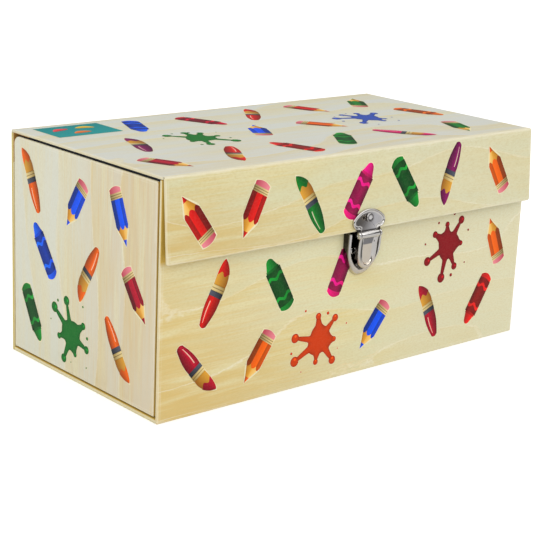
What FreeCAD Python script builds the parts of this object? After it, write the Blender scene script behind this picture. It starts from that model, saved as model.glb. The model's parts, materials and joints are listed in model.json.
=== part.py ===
"""Pencil drawer box: a wrapped greyboard case with a hinged lid, a clasped flap, a tray and two end drawers.

Frame: +Z up, origin at the middle of the underside, X along the case, the flap and its clasp at -Y.
Lengths are in millimetres and angles in degrees.
"""

import FreeCAD, Part
import math
import os
import re

import Sketcher

# --------------------------------------------------------------------------------------------------
# Driving dimensions
# --------------------------------------------------------------------------------------------------

SIZES = {
    # wrapped case
    "case_length": 300.0,
    "case_depth": 153.6,
    "case_height": 141.0,
    "wall_thick": 2.0,
    "base_thick": 2.4,
    "wrap_round": 0.7,
    "card_round": 0.3,
    # lid
    "lid_thick": 1.6,
    "lid_seat": 0.2,
    "lid_overhang": 0.4,
    "lid_back_gap": 0.1,
    "lining_thick": 0.3,
    "lining_margin": 4.0,
    "lining_gap": 0.5,
    "strip_width": 18.0,
    "strip_thick": 0.3,
    "strip_margin": 0.4,
    # flap that hangs from the front edge of the lid
    "flap_drop": 48.0,
    "flap_thick": 1.6,
    "flap_gap": 0.3,
    "flap_tilt": 4.2,
    "flap_corner": 1.6,
    "flap_top_gap": 0.3,
    # black inside
    "liner_thick": 1.0,
    "liner_end_gap": 0.6,
    "liner_top_gap": 1.0,
    "card_thick": 1.6,
    "tray_depth": 41.2,
    "tray_divider_rise": 19.0,
    "tray_end_gap": 0.8,
    "tray_top_gap": 1.2,
    "tray_back_row": 52.0,
    "tray_front_row": 34.0,
    "tray_pencil_length": 182.0,
    # end drawers
    "panel_thick": 2.0,
    "panel_inset": 0.4,
    "panel_bottom_gap": 0.9,
    "panel_top_gap": 1.8,
    "panel_front_gap": 2.2,
    "panel_back_gap": 0.7,
    "panel_back_corner": 5.0,
    "panel_front_corner": 1.2,
    "drawer_run_gap": 0.3,
    "drawer_rivet_gap": 1.0,
    "drawer_back_gap": 0.5,
    "drawer_top_gap": 2.0,
    "drawer_tail_gap": 1.0,
    "drawer_divider_drop": 12.0,
    "drawer_split": 58.0,
    "drawer_cross": 70.0,
    # clasp: where it sits
    "clasp_rivet_rise": 7.7,
    "clasp_axis_hang": 2.5,
    "clasp_axis_stand": 1.2,
    # clasp plate on the flap
    "plate_thick": 1.0,
    "plate_rim_rise": 0.8,
    "plate_rim": 1.5,
    "plate_half": 13.1,
    "plate_round": 0.35,
    "plate_crown": 5.4,
    "plate_crown_radius": 17.0,
    "plate_lobe_radius": 4.2,
    "neck_half": 7.0,
    "yoke_rise": 1.1,
    "eyelet_radius": 1.1,
    "eyelet_offset": 4.4,
    # clasp hinge
    "barrel_radius": 2.0,
    "knuckle_length": 1.7,
    "knuckle_gap": 0.3,
    "pin_radius": 0.65,
    "pin_proud": 0.4,
    "pin_fit": 0.05,
    # clasp tongue
    "tongue_length": 21.7,
    "tongue_half": 7.6,
    "tongue_side_radius": 30.0,
    "tongue_foot_taper": 0.6,
    "tongue_thick": 0.8,
    "tongue_set_back": 1.2,
    "tongue_rim": 2.4,
    "tongue_rim_rise": 0.8,
    "tongue_round": 0.7,
    # clasp base on the front board
    "cup_lift": 0.76,
    "cup_foot_gap": 5.64,
    "cup_side_gap": 3.6,
    "cup_side_radius": 22.0,
    "cup_foot_taper": 4.8,
    "cup_rim": 2.6,
    "cup_rise": 5.4,
    "cup_floor": 1.0,
    "cup_round": 1.0,
    "catch_half": 3.5,
    "catch_drop": 5.84,
    "catch_length": 11.0,
    "catch_gap": 0.5,
    "catch_round": 0.8,
    # rivets
    "rivet_radius": 1.2,
    "rivet_fit": 0.05,
    "rivet_head": 2.2,
    "rivet_head_rise": 0.8,
    "rivet_tail": 2.0,
    "rivet_tail_rise": 0.6,
    "plate_rivet_head": 2.7,
    "plate_rivet_rise": 1.7,
    "cup_rivet_spread": 6.6,
    "cup_rivet_depth": 11.6,
}

doc = FreeCAD.newDocument("pencil_drawer_box")
sheet = doc.addObject("Spreadsheet::Sheet", "Sizes")
for row, (alias, value) in enumerate(SIZES.items(), start=1):
    sheet.set(f"A{row}", alias)
    sheet.set(f"B{row}", str(value))
    sheet.setAlias(f"B{row}", alias)
doc.recompute()


def bound(text):
    """The expression with each size in it pointing at its cell."""
    names = "|".join(sorted(SIZES, key=len, reverse=True))
    return re.sub(rf"\b({names})\b", r"Sizes.\1", text)


def value_of(text):
    """The number that an expression of sizes stands for."""
    result = sheet.evalExpression(bound(text))
    return float(getattr(result, "Value", result))


# --------------------------------------------------------------------------------------------------
# Levels and faces that several pieces share, each an expression of the driving dimensions
# --------------------------------------------------------------------------------------------------

END = "(case_length / 2)"
FRONT = "(case_depth / 2)"
FRONT_INSIDE = "(case_depth / 2 - wall_thick)"
LINER_INSIDE = "(case_depth / 2 - wall_thick - liner_thick)"
LID_UNDER = "(case_height - lid_thick)"
WALL_TOP = "(case_height - lid_thick - lid_seat)"
LINER_TOP = f"({WALL_TOP} - strip_width - liner_top_gap)"
LINER_END = f"({END} - panel_inset - panel_thick - liner_end_gap)"
TRAY_LEVEL = f"({WALL_TOP} - tray_depth)"
TRAY_UNDER = f"({TRAY_LEVEL} - card_thick)"
TRAY_END = f"({LINER_END} - tray_end_gap)"
CREASE_Y = "(-case_depth / 2 - lid_overhang)"
RIVET_DROP = "(flap_drop - clasp_rivet_rise)"
AXIS_DROP = "(flap_drop + clasp_axis_hang)"
FLAP_FACE = "(flap_gap + lining_thick + flap_thick)"
AXIS_OUT = f"({FLAP_FACE} + clasp_axis_stand)"
LEAN = "flap_tilt * 1 deg"
AXIS_Y = f"({CREASE_Y} - {AXIS_DROP} * sin({LEAN}) - {AXIS_OUT} * cos({LEAN}))"
AXIS_Z = f"(case_height - {AXIS_DROP} * cos({LEAN}) + {AXIS_OUT} * sin({LEAN}))"
CUP_TOP = f"({AXIS_Z} + cup_lift)"
CUP_FOOT = f"({AXIS_Z} - tongue_length - cup_foot_gap)"
CUP_HALF = "(tongue_half + cup_side_gap + cup_rim)"
CUP_RIVET_LEVEL = f"({CUP_TOP} - cup_rivet_depth)"

# --------------------------------------------------------------------------------------------------
# Ways of making a piece
# --------------------------------------------------------------------------------------------------

SMOOTH_ANGLE = 0.1   # radians between two faces that count as running smoothly into each other
PAST = 1.0           # how far a cutter runs past the faces that it goes through
HEAD_ROUND = 0.8     # the share of a rivet head's rise that its rounded edge takes
pieces = []


def new_body(label, place=("0", "0", "0"), tilted=False):
    """A part-design body with its origin at the three expressions, leaning with the flap if it is tilted."""
    body = doc.addObject("PartDesign::Body", label)
    body.Label = label
    body.AllowCompound = True
    if tilted:
        body.Placement = FreeCAD.Placement(FreeCAD.Vector(), FreeCAD.Rotation(FreeCAD.Vector(-1, 0, 0), 1))
        body.setExpression("Placement.Rotation.Angle", bound("flap_tilt * 1 deg"))
    for axis, text in zip("xyz", place):
        body.setExpression(f"Placement.Base.{axis}", bound(f"({text}) * 1 mm"))
    pieces.append(body)
    return body


def new_sketch(body, name, role="XY_Plane", offset="0"):
    """A sketch on one of the body's own origin planes, moved along the plane's normal by the offset."""
    sketch = body.newObject("Sketcher::SketchObject", f"{body.Label}_{name}")
    plane = next(item for item in body.Origin.OriginFeatures if item.Role == role)
    sketch.AttachmentSupport = (plane, "")
    sketch.MapMode = "FlatFace"
    sketch.setExpression("AttachmentOffset.Base.z", bound(f"({offset}) * 1 mm"))
    return sketch


def measure(sketch, kind, *picks, size):
    """A sketch dimension tied to an expression of sizes."""
    index = sketch.addConstraint(Sketcher.Constraint(kind, *picks, abs(value_of(size))))
    sketch.setExpression(f"Constraints[{index}]", bound(f"({size}) * 1 mm"))


def add_rectangle(sketch, width, height, left="0", bottom="0"):
    """A rectangle of that width and height whose lower left corner is at (left, bottom)."""
    x0, y0 = value_of(left), value_of(bottom)
    x1, y1 = x0 + value_of(width), y0 + value_of(height)
    corners = [FreeCAD.Vector(x, y, 0) for x, y in ((x0, y0), (x1, y0), (x1, y1), (x0, y1))]
    lines = [sketch.addGeometry(Part.LineSegment(corners[k], corners[(k + 1) % 4])) for k in range(4)]
    for k in range(4):
        sketch.addConstraint(Sketcher.Constraint("Coincident", lines[k], 2, lines[(k + 1) % 4], 1))
        sketch.addConstraint(Sketcher.Constraint("Vertical" if k % 2 else "Horizontal", lines[k]))
    measure(sketch, "DistanceX", lines[0], 1, lines[0], 2, size=width)
    measure(sketch, "DistanceY", lines[1], 1, lines[1], 2, size=height)
    for kind, text, start in (("DistanceX", left, x0), ("DistanceY", bottom, y0)):
        pair = (-1, 1, lines[0], 1) if start >= 0 else (lines[0], 1, -1, 1)
        measure(sketch, kind, *pair, size=text if start >= 0 else f"-({text})")


def add_circle(sketch, radius, across="0", level="0"):
    """A circle of that radius with its centre at (across, level)."""
    x, y = value_of(across), value_of(level)
    up = FreeCAD.Vector(0, 0, 1)
    circle = sketch.addGeometry(Part.Circle(FreeCAD.Vector(x, y, 0), up, value_of(radius)))
    measure(sketch, "Radius", circle, size=radius)
    for kind, text, start in (("DistanceX", across, x), ("DistanceY", level, y)):
        pair = (-1, 1, circle, 3) if start >= 0 else (circle, 3, -1, 1)
        measure(sketch, kind, *pair, size=text if start >= 0 else f"-({text})")


def pad(body, sketch, length, midplane=False, backwards=False):
    """The sketch made solid, over the given length along its normal."""
    feature = body.newObject("PartDesign::Pad", f"{sketch.Label}_pad")
    feature.Profile = sketch
    feature.setExpression("Length", bound(f"({length}) * 1 mm"))
    feature.Midplane = midplane
    feature.Reversed = backwards
    sketch.Visibility = False
    doc.recompute()
    return feature


def cut(body, sketch, depth, midplane=False, along_normal=False):
    """The sketch cut out of the body, against its normal unless along_normal is set."""
    before = body.Shape.Volume
    feature = body.newObject("PartDesign::Pocket", f"{sketch.Label}_cut")
    feature.Profile = sketch
    feature.setExpression("Length", bound(f"({depth}) * 1 mm"))
    feature.Midplane = midplane
    feature.Reversed = along_normal
    sketch.Visibility = False
    doc.recompute()
    assert body.Shape.Volume < before - 0.01, f"{feature.Label} removed nothing"
    return feature


def is_sharp(shape, edge):
    """Whether the two faces at the edge meet at an angle, and don't run smoothly into each other."""
    middle = edge.valueAt((edge.FirstParameter + edge.LastParameter) / 2)
    normals = []
    for face in shape.ancestorsOfType(edge, Part.Face):
        normals.append(face.normalAt(*face.Surface.parameter(middle)))
    return len(normals) == 2 and normals[0].getAngle(normals[1]) > SMOOTH_ANGLE


def round_edges(body, wanted, radius):
    """A fillet on each sharp edge of the body for which wanted(edge) is true."""
    shape = body.Tip.Shape
    numbered = enumerate(shape.Edges, start=1)
    names = [f"Edge{k}" for k, edge in numbered if wanted(edge) and is_sharp(shape, edge)]
    assert names, f"{body.Label} has no such edge to round"
    base = body.Tip
    feature = body.newObject("PartDesign::Fillet", f"{body.Label}_round{len(body.Group)}")
    feature.Base = (base, names)
    feature.setExpression("Radius", bound(f"({radius}) * 1 mm"))
    doc.recompute()


def board(label, x, y, z, radius=None, corners=(), place=("0", "0", "0"), tilted=False):
    """A flat board between the given pairs of expressions along X, Y and Z.

    Each entry of corners is a test for an edge and that corner's radius. The rest get the plain radius.
    """
    body = new_body(label, place, tilted)
    sketch = new_sketch(body, "outline", offset=z[0])
    add_rectangle(sketch, f"({x[1]}) - ({x[0]})", f"({y[1]}) - ({y[0]})", x[0], y[0])
    pad(body, sketch, f"({z[1]}) - ({z[0]})")
    for wanted, corner_radius in corners:
        round_edges(body, wanted, corner_radius)
    if radius:
        round_edges(body, lambda edge: True, radius)
    return body


def drill(body, name, centres, radius, front, depth):
    """Round holes through a wall of that depth, whose front is so far before the body's own XZ plane."""
    sketch = new_sketch(body, name, "XZ_Plane", f"{front} + {PAST}")
    for across, level in centres:
        add_circle(sketch, radius, across, level)
    cut(body, sketch, f"{depth} + {2 * PAST}")


def mirrored(pair):
    """The pair of expressions seen in the YZ plane."""
    return (f"-({pair[1]})", f"-({pair[0]})")


# --------------------------------------------------------------------------------------------------
# Case: the base board lies between the front board and the back board, and liners stand on it
# --------------------------------------------------------------------------------------------------

ALONG = (f"-{END}", END)
CUP_RIVETS = [("-cup_rivet_spread", CUP_RIVET_LEVEL), ("cup_rivet_spread", CUP_RIVET_LEVEL)]
RIVET_HOLE = "rivet_radius + rivet_fit"

board("base_board", ALONG, (f"-{FRONT_INSIDE}", FRONT_INSIDE), ("0", "base_thick"), "wrap_round")

front_board = board("front_board", ALONG, (f"-{FRONT}", f"-{FRONT_INSIDE}"), ("0", WALL_TOP), "wrap_round")
drill(front_board, "holes", CUP_RIVETS, RIVET_HOLE, FRONT, "wall_thick")

board("back_board", ALONG, (FRONT_INSIDE, FRONT), ("0", WALL_TOP), "wrap_round")

LINER_RUN = (f"-{LINER_END}", LINER_END)
LINER_RISE = ("base_thick", LINER_TOP)
front_liner = board("front_liner", LINER_RUN, (f"-{FRONT_INSIDE}", f"-{LINER_INSIDE}"), LINER_RISE)
drill(front_liner, "holes", CUP_RIVETS, RIVET_HOLE, FRONT_INSIDE, "liner_thick")

board("back_liner", LINER_RUN, (LINER_INSIDE, FRONT_INSIDE), LINER_RISE)

# --------------------------------------------------------------------------------------------------
# Black inside: the wall between the drawers and the shallow tray above them
# --------------------------------------------------------------------------------------------------

INSIDE = (f"-{LINER_INSIDE}", LINER_INSIDE)
TRAY_END_RISE = (TRAY_LEVEL, f"{LID_UNDER} - lining_thick - tray_top_gap")
DIVIDER_RISE = (TRAY_LEVEL, f"{TRAY_LEVEL} + tray_divider_rise")
BACK_ROW = (f"{LINER_INSIDE} - tray_back_row - card_thick", f"{LINER_INSIDE} - tray_back_row")
FRONT_ROW = (f"-{LINER_INSIDE} + tray_front_row", f"-{LINER_INSIDE} + tray_front_row + card_thick")
TRAY_RUN = (f"-{TRAY_END} + card_thick", f"{TRAY_END} - card_thick")
PENCIL_STOP = (f"{TRAY_RUN[0]} + tray_pencil_length", f"{TRAY_RUN[0]} + tray_pencil_length + card_thick")

MIDDLE = ("-card_thick / 2", "card_thick / 2")

board("drawer_bay_wall", MIDDLE, INSIDE, ("base_thick", TRAY_UNDER), "card_round")
board("tray_floor", (f"-{TRAY_END}", TRAY_END), INSIDE, (TRAY_UNDER, TRAY_LEVEL), "card_round")
LEFT_TRAY_END = (f"-{TRAY_END}", f"-{TRAY_END} + card_thick")
board("tray_left_end", LEFT_TRAY_END, INSIDE, TRAY_END_RISE, "card_round")
board("tray_right_end", mirrored(LEFT_TRAY_END), INSIDE, TRAY_END_RISE, "card_round")
board("tray_back_divider", TRAY_RUN, BACK_ROW, DIVIDER_RISE, "card_round")
board("tray_front_divider", TRAY_RUN, FRONT_ROW, DIVIDER_RISE, "card_round")
board("tray_pencil_stop", PENCIL_STOP, (FRONT_ROW[1], BACK_ROW[0]), DIVIDER_RISE, "card_round")
board("tray_corner_divider", PENCIL_STOP, (BACK_ROW[1], LINER_INSIDE), DIVIDER_RISE, "card_round")
board("tray_eraser_divider", MIDDLE, (f"-{LINER_INSIDE}", FRONT_ROW[0]), DIVIDER_RISE, "card_round")

# --------------------------------------------------------------------------------------------------
# Lid with its lining and its paper hinge
# --------------------------------------------------------------------------------------------------

STRIP_Y = (f"{FRONT_INSIDE} - strip_thick", FRONT_INSIDE)
LID_STRIP_Y = (f"{FRONT_INSIDE} - strip_width", FRONT_INSIDE)
LINING_RUN = (f"-{END} + lining_margin", f"{END} - lining_margin")
STRIP_RUN = (f"-{END} + strip_margin", f"{END} - strip_margin")

board("lid_board", ALONG, (CREASE_Y, f"{FRONT} - lid_back_gap"), (LID_UNDER, "case_height"), "wrap_round")
board("lid_lining", LINING_RUN, (f"-{FRONT_INSIDE} + lining_margin", f"{LID_STRIP_Y[0]} - lining_gap"),
      (f"{LID_UNDER} - lining_thick", LID_UNDER))
board("lid_hinge_strip", STRIP_RUN, LID_STRIP_Y, (f"{LID_UNDER} - strip_thick", LID_UNDER))
board("back_hinge_strip", STRIP_RUN, STRIP_Y, (f"{WALL_TOP} - strip_width", f"{WALL_TOP} - strip_thick"))

# --------------------------------------------------------------------------------------------------
# Flap, in a frame of its own: origin on the crease at the lid's front edge, leaning out by flap_tilt
# --------------------------------------------------------------------------------------------------

CREASE = ("0", CREASE_Y, "case_height")
FLAP_Y = (f"-{FLAP_FACE}", "-flap_gap - lining_thick")


def lower_corner(edge):
    """Whether the edge is one of the two at the flap's lower corners, through its thickness."""
    middle = edge.CenterOfMass
    return abs(middle.x) > value_of(END) - 0.1 and middle.z < -value_of("flap_drop") + 0.1 \
        and edge.Length < value_of("flap_thick") + 0.1


RIVET_PLACE = [("0", f"-{RIVET_DROP}")]

flap_board = board("flap_board", ALONG, FLAP_Y, ("-flap_drop", "-flap_top_gap"), "wrap_round",
                   [(lower_corner, "flap_corner")], CREASE, tilted=True)
drill(flap_board, "hole", RIVET_PLACE, RIVET_HOLE, FLAP_FACE, "flap_thick")
flap_lining = board("flap_lining", LINING_RUN, ("-flap_gap - lining_thick", "-flap_gap"),
                    ("-flap_drop + lining_margin", "-lining_margin"), place=CREASE, tilted=True)
drill(flap_lining, "hole", RIVET_PLACE, RIVET_HOLE, "flap_gap + lining_thick", "lining_thick")

# --------------------------------------------------------------------------------------------------
# Clasp
# --------------------------------------------------------------------------------------------------


def link_loop(sketch, loop, corners=()):
    """The edges joined end to end, smoothly except after those edges that are in corners."""
    for first, second in zip(loop, loop[1:] + loop[:1]):
        kind = "Coincident" if first in corners else "Tangent"
        sketch.addConstraint(Sketcher.Constraint(kind, first, 2, second, 1))


def add_shield(sketch, half, side_radius, foot_radius, foot, top):
    """A shield: a straight top and sides, then a wide arc on each side that runs into a small one below."""
    w, big, small = value_of(half), value_of(side_radius), value_of(foot_radius)
    low, high = value_of(foot), value_of(top)
    lean = math.acos((big - w) / (big - small))
    shoulder = low + small + (big - small) * math.sin(lean)
    up = FreeCAD.Vector(0, 0, 1)
    wide = [Part.Circle(FreeCAD.Vector(side * (w - big), shoulder, 0), up, big) for side in (1, -1)]
    narrow = Part.Circle(FreeCAD.Vector(0, low + small, 0), up, small)
    top_line = sketch.addGeometry(Part.LineSegment(FreeCAD.Vector(w, high, 0), FreeCAD.Vector(-w, high, 0)))
    left = sketch.addGeometry(Part.LineSegment(FreeCAD.Vector(-w, high, 0), FreeCAD.Vector(-w, shoulder, 0)))
    left_arc = sketch.addGeometry(Part.ArcOfCircle(wide[1], math.pi, math.pi + lean))
    foot_arc = sketch.addGeometry(Part.ArcOfCircle(narrow, math.pi + lean, 2 * math.pi - lean))
    right_arc = sketch.addGeometry(Part.ArcOfCircle(wide[0], -lean, 0))
    right = sketch.addGeometry(Part.LineSegment(FreeCAD.Vector(w, shoulder, 0), FreeCAD.Vector(w, high, 0)))
    loop = (top_line, left, left_arc, foot_arc, right_arc, right)
    link_loop(sketch, loop, corners=(top_line, right))
    sketch.addConstraint(Sketcher.Constraint("Vertical", left))
    sketch.addConstraint(Sketcher.Constraint("Vertical", right))
    sketch.addConstraint(Sketcher.Constraint("Equal", left_arc, right_arc))
    sketch.addConstraint(Sketcher.Constraint("Symmetric", top_line, 1, top_line, 2, -2))
    sketch.addConstraint(Sketcher.Constraint("PointOnObject", foot_arc, 3, -2))
    measure(sketch, "DistanceX", top_line, 2, top_line, 1, size=f"2 * ({half})")
    measure(sketch, "Radius", right_arc, size=side_radius)
    measure(sketch, "Radius", foot_arc, size=foot_radius)
    for text, point in ((top, (top_line, 1)), (f"({foot}) + ({foot_radius})", (foot_arc, 3))):
        if value_of(text) >= 0:
            measure(sketch, "DistanceY", -1, 1, *point, size=text)
        else:
            measure(sketch, "DistanceY", *point, -1, 1, size=f"-({text})")


def add_oval(sketch, inset):
    """The plate's head, brought in by inset: a crown arc, a round lobe at each end and a straight foot."""
    lobe = value_of(f"plate_lobe_radius - ({inset})")
    crown = value_of(f"plate_crown_radius - ({inset})")
    reach = value_of("plate_half - plate_lobe_radius")
    crown_middle = value_of(f"plate_crown - {RIVET_DROP} - plate_crown_radius")
    lobe_middle = crown_middle + math.sqrt((crown - lobe) ** 2 - reach ** 2)
    meet = math.atan2(lobe_middle - crown_middle, reach)
    up = FreeCAD.Vector(0, 0, 1)
    lobes = [Part.Circle(FreeCAD.Vector(side * reach, lobe_middle, 0), up, lobe) for side in (1, -1)]
    crown_circle = Part.Circle(FreeCAD.Vector(0, crown_middle, 0), up, crown)
    feet = [FreeCAD.Vector(side * reach, lobe_middle - lobe, 0) for side in (-1, 1)]
    foot_line = sketch.addGeometry(Part.LineSegment(*feet))
    right_lobe = sketch.addGeometry(Part.ArcOfCircle(lobes[0], -math.pi / 2, meet))
    crown_arc = sketch.addGeometry(Part.ArcOfCircle(crown_circle, meet, math.pi - meet))
    left_lobe = sketch.addGeometry(Part.ArcOfCircle(lobes[1], math.pi - meet, 3 * math.pi / 2))
    link_loop(sketch, (foot_line, right_lobe, crown_arc, left_lobe))
    sketch.addConstraint(Sketcher.Constraint("Horizontal", foot_line))
    sketch.addConstraint(Sketcher.Constraint("PointOnObject", crown_arc, 3, -2))
    sketch.addConstraint(Sketcher.Constraint("Equal", right_lobe, left_lobe))
    measure(sketch, "Radius", crown_arc, size=f"plate_crown_radius - ({inset})")
    measure(sketch, "Radius", right_lobe, size=f"plate_lobe_radius - ({inset})")
    measure(sketch, "DistanceX", left_lobe, 3, right_lobe, 3, size="2 * (plate_half - plate_lobe_radius)")
    measure(sketch, "DistanceY", crown_arc, 3, -1, 1, size=f"{RIVET_DROP} + plate_crown_radius - plate_crown")


def at_front(depth):
    """A test for the edges that lie wholly in the plane that far in front of a body's own XZ plane."""
    return lambda edge: all(abs(vertex.Y + value_of(depth)) < 0.01 for vertex in edge.Vertexes)


# plate on the flap: a dished head with a raised rim, a neck, and two knuckles for the pin
HINGE_HALF = "(tongue_half + knuckle_gap + knuckle_length)"
SLOT_REACH = "(barrel_radius + knuckle_gap)"
NECK_FOOT = f"({SLOT_REACH} - {AXIS_DROP})"
PLATE_DEPTH = "(plate_thick + plate_rim_rise)"
PLATE_FRONT = f"{FLAP_FACE} + {PLATE_DEPTH}"

plate = new_body("clasp_plate", CREASE, tilted=True)
head_sketch = new_sketch(plate, "head", "XZ_Plane", FLAP_FACE)
add_oval(head_sketch, "0")
pad(plate, head_sketch, PLATE_DEPTH)
neck_sketch = new_sketch(plate, "neck", "XZ_Plane", FLAP_FACE)
add_rectangle(neck_sketch, "2 * neck_half", f"-{RIVET_DROP} - {NECK_FOOT}", "-neck_half", NECK_FOOT)
pad(plate, neck_sketch, PLATE_DEPTH)
dish_sketch = new_sketch(plate, "dish", "XZ_Plane", PLATE_FRONT)
add_oval(dish_sketch, "plate_rim")
cut(plate, dish_sketch, "plate_rim_rise")
channel_sketch = new_sketch(plate, "channel", "XZ_Plane", PLATE_FRONT)
add_rectangle(channel_sketch, "2 * (neck_half - plate_rim)", f"{PAST} - {RIVET_DROP} - {NECK_FOOT}",
              "plate_rim - neck_half", f"{NECK_FOOT} - {PAST}")
cut(plate, channel_sketch, "plate_rim_rise")
round_edges(plate, at_front(PLATE_FRONT), "plate_round")
yoke_sketch = new_sketch(plate, "yoke", "XZ_Plane", FLAP_FACE)
add_rectangle(yoke_sketch, f"2 * {HINGE_HALF}", f"{SLOT_REACH} + yoke_rise", f"-{HINGE_HALF}",
              f"-{AXIS_DROP}")
pad(plate, yoke_sketch, "plate_thick")


def add_hinge_circle(body, name, radius, tilted):
    """A circle about the clasp's hinge axis, in the body's own YZ plane."""
    sketch = new_sketch(body, name, "YZ_Plane")
    if tilted:
        add_circle(sketch, radius, f"-{AXIS_OUT}", f"-{AXIS_DROP}")
    else:
        add_circle(sketch, radius)
    return sketch


pad(plate, add_hinge_circle(plate, "knuckles", "barrel_radius", True), f"2 * {HINGE_HALF}", midplane=True)
slot_sketch = new_sketch(plate, "slot", "YZ_Plane")
add_rectangle(slot_sketch, f"2 * {SLOT_REACH}", f"2 * {SLOT_REACH}", f"-{AXIS_OUT} - {SLOT_REACH}",
              f"-{AXIS_DROP} - {SLOT_REACH}")
cut(plate, slot_sketch, "2 * (tongue_half + knuckle_gap)", midplane=True)
pin_hole = add_hinge_circle(plate, "pin_hole", "pin_radius", True)
cut(plate, pin_hole, f"2 * {HINGE_HALF} + {2 * PAST}", midplane=True)
drill(plate, "rivet_hole", RIVET_PLACE, RIVET_HOLE, PLATE_FRONT, PLATE_DEPTH)
drill(plate, "eyelet", [("-eyelet_offset", f"-{RIVET_DROP}")], "eyelet_radius", PLATE_FRONT, PLATE_DEPTH)

pin = new_body("clasp_pin", CREASE, tilted=True)
pad(pin, add_hinge_circle(pin, "round", "pin_radius", True), f"2 * ({HINGE_HALF} + pin_proud)", midplane=True)
round_edges(pin, lambda edge: isinstance(edge.Curve, Part.Circle), "pin_proud")


def rivet(label, centres, front, grip, head, head_rise, place=("0", "0", "0"), tilted=False):
    """Rivets along Y: shanks of length grip behind the front plane, heads before it and tails behind."""
    body = new_body(label, place, tilted)
    shank_sketch = new_sketch(body, "shank", "XZ_Plane", front)
    for across, level in centres:
        add_circle(shank_sketch, "rivet_radius", across, level)
    pad(body, shank_sketch, grip, backwards=True)
    head_sketch = new_sketch(body, "head", "XZ_Plane", front)
    tail_sketch = new_sketch(body, "tail", "XZ_Plane", f"({front}) - ({grip})")
    for across, level in centres:
        add_circle(head_sketch, head, across, level)
        add_circle(tail_sketch, "rivet_tail", across, level)
    pad(body, head_sketch, head_rise)
    pad(body, tail_sketch, "rivet_tail_rise", backwards=True)
    round_edges(body, at_front(f"({front}) + ({head_rise})"), f"{HEAD_ROUND} * ({head_rise})")


FLAP_GRIP = "plate_thick + flap_thick + lining_thick"
rivet("clasp_plate_rivet", RIVET_PLACE, f"{FLAP_FACE} + plate_thick", FLAP_GRIP, "plate_rivet_head",
      "plate_rivet_rise", CREASE, tilted=True)

# tongue: hangs upright from the pin, with a raised border round its foot
tongue = new_body("clasp_tongue", ("0", AXIS_Y, AXIS_Z))
TONGUE_FRONT = "tongue_thick + tongue_rim_rise - tongue_set_back"
TONGUE_FOOT_RADIUS = "(tongue_half - tongue_foot_taper)"
blade_sketch = new_sketch(tongue, "blade", "XZ_Plane", "-tongue_set_back")
add_shield(blade_sketch, "tongue_half", "tongue_side_radius", TONGUE_FOOT_RADIUS, "-tongue_length", "0")
pad(tongue, blade_sketch, "tongue_thick + tongue_rim_rise")
border_sketch = new_sketch(tongue, "border", "XZ_Plane", TONGUE_FRONT)
add_shield(border_sketch, "tongue_half - tongue_rim", "tongue_side_radius - tongue_rim",
           f"{TONGUE_FOOT_RADIUS} - tongue_rim", "-tongue_length + tongue_rim", f"{PAST}")
cut(tongue, border_sketch, "tongue_rim_rise")
round_edges(tongue, at_front(TONGUE_FRONT), "tongue_round")
pad(tongue, add_hinge_circle(tongue, "barrel", "barrel_radius", False), "2 * tongue_half", midplane=True)
tongue_hole = add_hinge_circle(tongue, "pin_hole", "pin_radius + pin_fit", False)
cut(tongue, tongue_hole, f"2 * tongue_half + {2 * PAST}", midplane=True)

# cup on the front board, open at the top, where the tongue goes in and out
CUP_FOOT_RADIUS = f"({CUP_HALF} - cup_foot_taper)"
CUP_FRONT = f"{FRONT} + cup_rise"
cup = new_body("clasp_cup")
cup_sketch = new_sketch(cup, "outline", "XZ_Plane", FRONT)
add_shield(cup_sketch, CUP_HALF, "cup_side_radius", CUP_FOOT_RADIUS, CUP_FOOT, CUP_TOP)
pad(cup, cup_sketch, "cup_rise")
well_sketch = new_sketch(cup, "well", "XZ_Plane", CUP_FRONT)
add_shield(well_sketch, f"{CUP_HALF} - cup_rim", "cup_side_radius - cup_rim", f"{CUP_FOOT_RADIUS} - cup_rim",
           f"{CUP_FOOT} + cup_rim", f"{CUP_TOP} + {PAST}")
cut(cup, well_sketch, "cup_rise - cup_floor")
round_edges(cup, at_front(CUP_FRONT), "cup_round")
drill(cup, "holes", CUP_RIVETS, RIVET_HOLE, CUP_FRONT, "cup_rise")

CUP_GRIP = "cup_floor + wall_thick + liner_thick"
rivet("clasp_cup_rivets", CUP_RIVETS, f"{FRONT} + cup_floor", CUP_GRIP, "rivet_head", "rivet_head_rise")

CATCH_Y = (f"{AXIS_Y} + tongue_set_back + catch_gap", f"-{FRONT} - cup_floor")
CATCH_Z = (f"{AXIS_Z} - catch_drop - catch_length", f"{AXIS_Z} - catch_drop")
catch = board("clasp_catch", ("-catch_half", "catch_half"), CATCH_Y, CATCH_Z)
round_edges(catch, lambda edge: edge.CenterOfMass.y < value_of(f"{CATCH_Y[0]} + 0.1"), "catch_round")

# --------------------------------------------------------------------------------------------------
# End drawers: the left one, and the right one as its mirror image
# --------------------------------------------------------------------------------------------------

PANEL_X = (f"-{END} + panel_inset", f"-{END} + panel_inset + panel_thick")
PANEL_Y = (f"-{FRONT_INSIDE} + panel_front_gap", f"{FRONT_INSIDE} - panel_back_gap")
PANEL_Z = ("base_thick + panel_bottom_gap", f"{LID_UNDER} - panel_top_gap")
BOX_X = (PANEL_X[1], "-card_thick / 2 - drawer_tail_gap")
BOX_Y = (f"-{LINER_INSIDE} + rivet_tail_rise + drawer_rivet_gap", f"{LINER_INSIDE} - drawer_back_gap")
BOX_FLOOR = ("base_thick + drawer_run_gap", "base_thick + drawer_run_gap + card_thick")
BOX_Z = (BOX_FLOOR[1], f"{TRAY_UNDER} - drawer_top_gap")
INNER_X = (f"{BOX_X[0]} + card_thick", f"{BOX_X[1]} - card_thick")
INNER_Z = (BOX_Z[0], f"{BOX_Z[1]} - drawer_divider_drop")
SPLIT_Y = (f"{BOX_Y[0]} + card_thick + drawer_split", f"{BOX_Y[0]} + 2 * card_thick + drawer_split")
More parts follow.
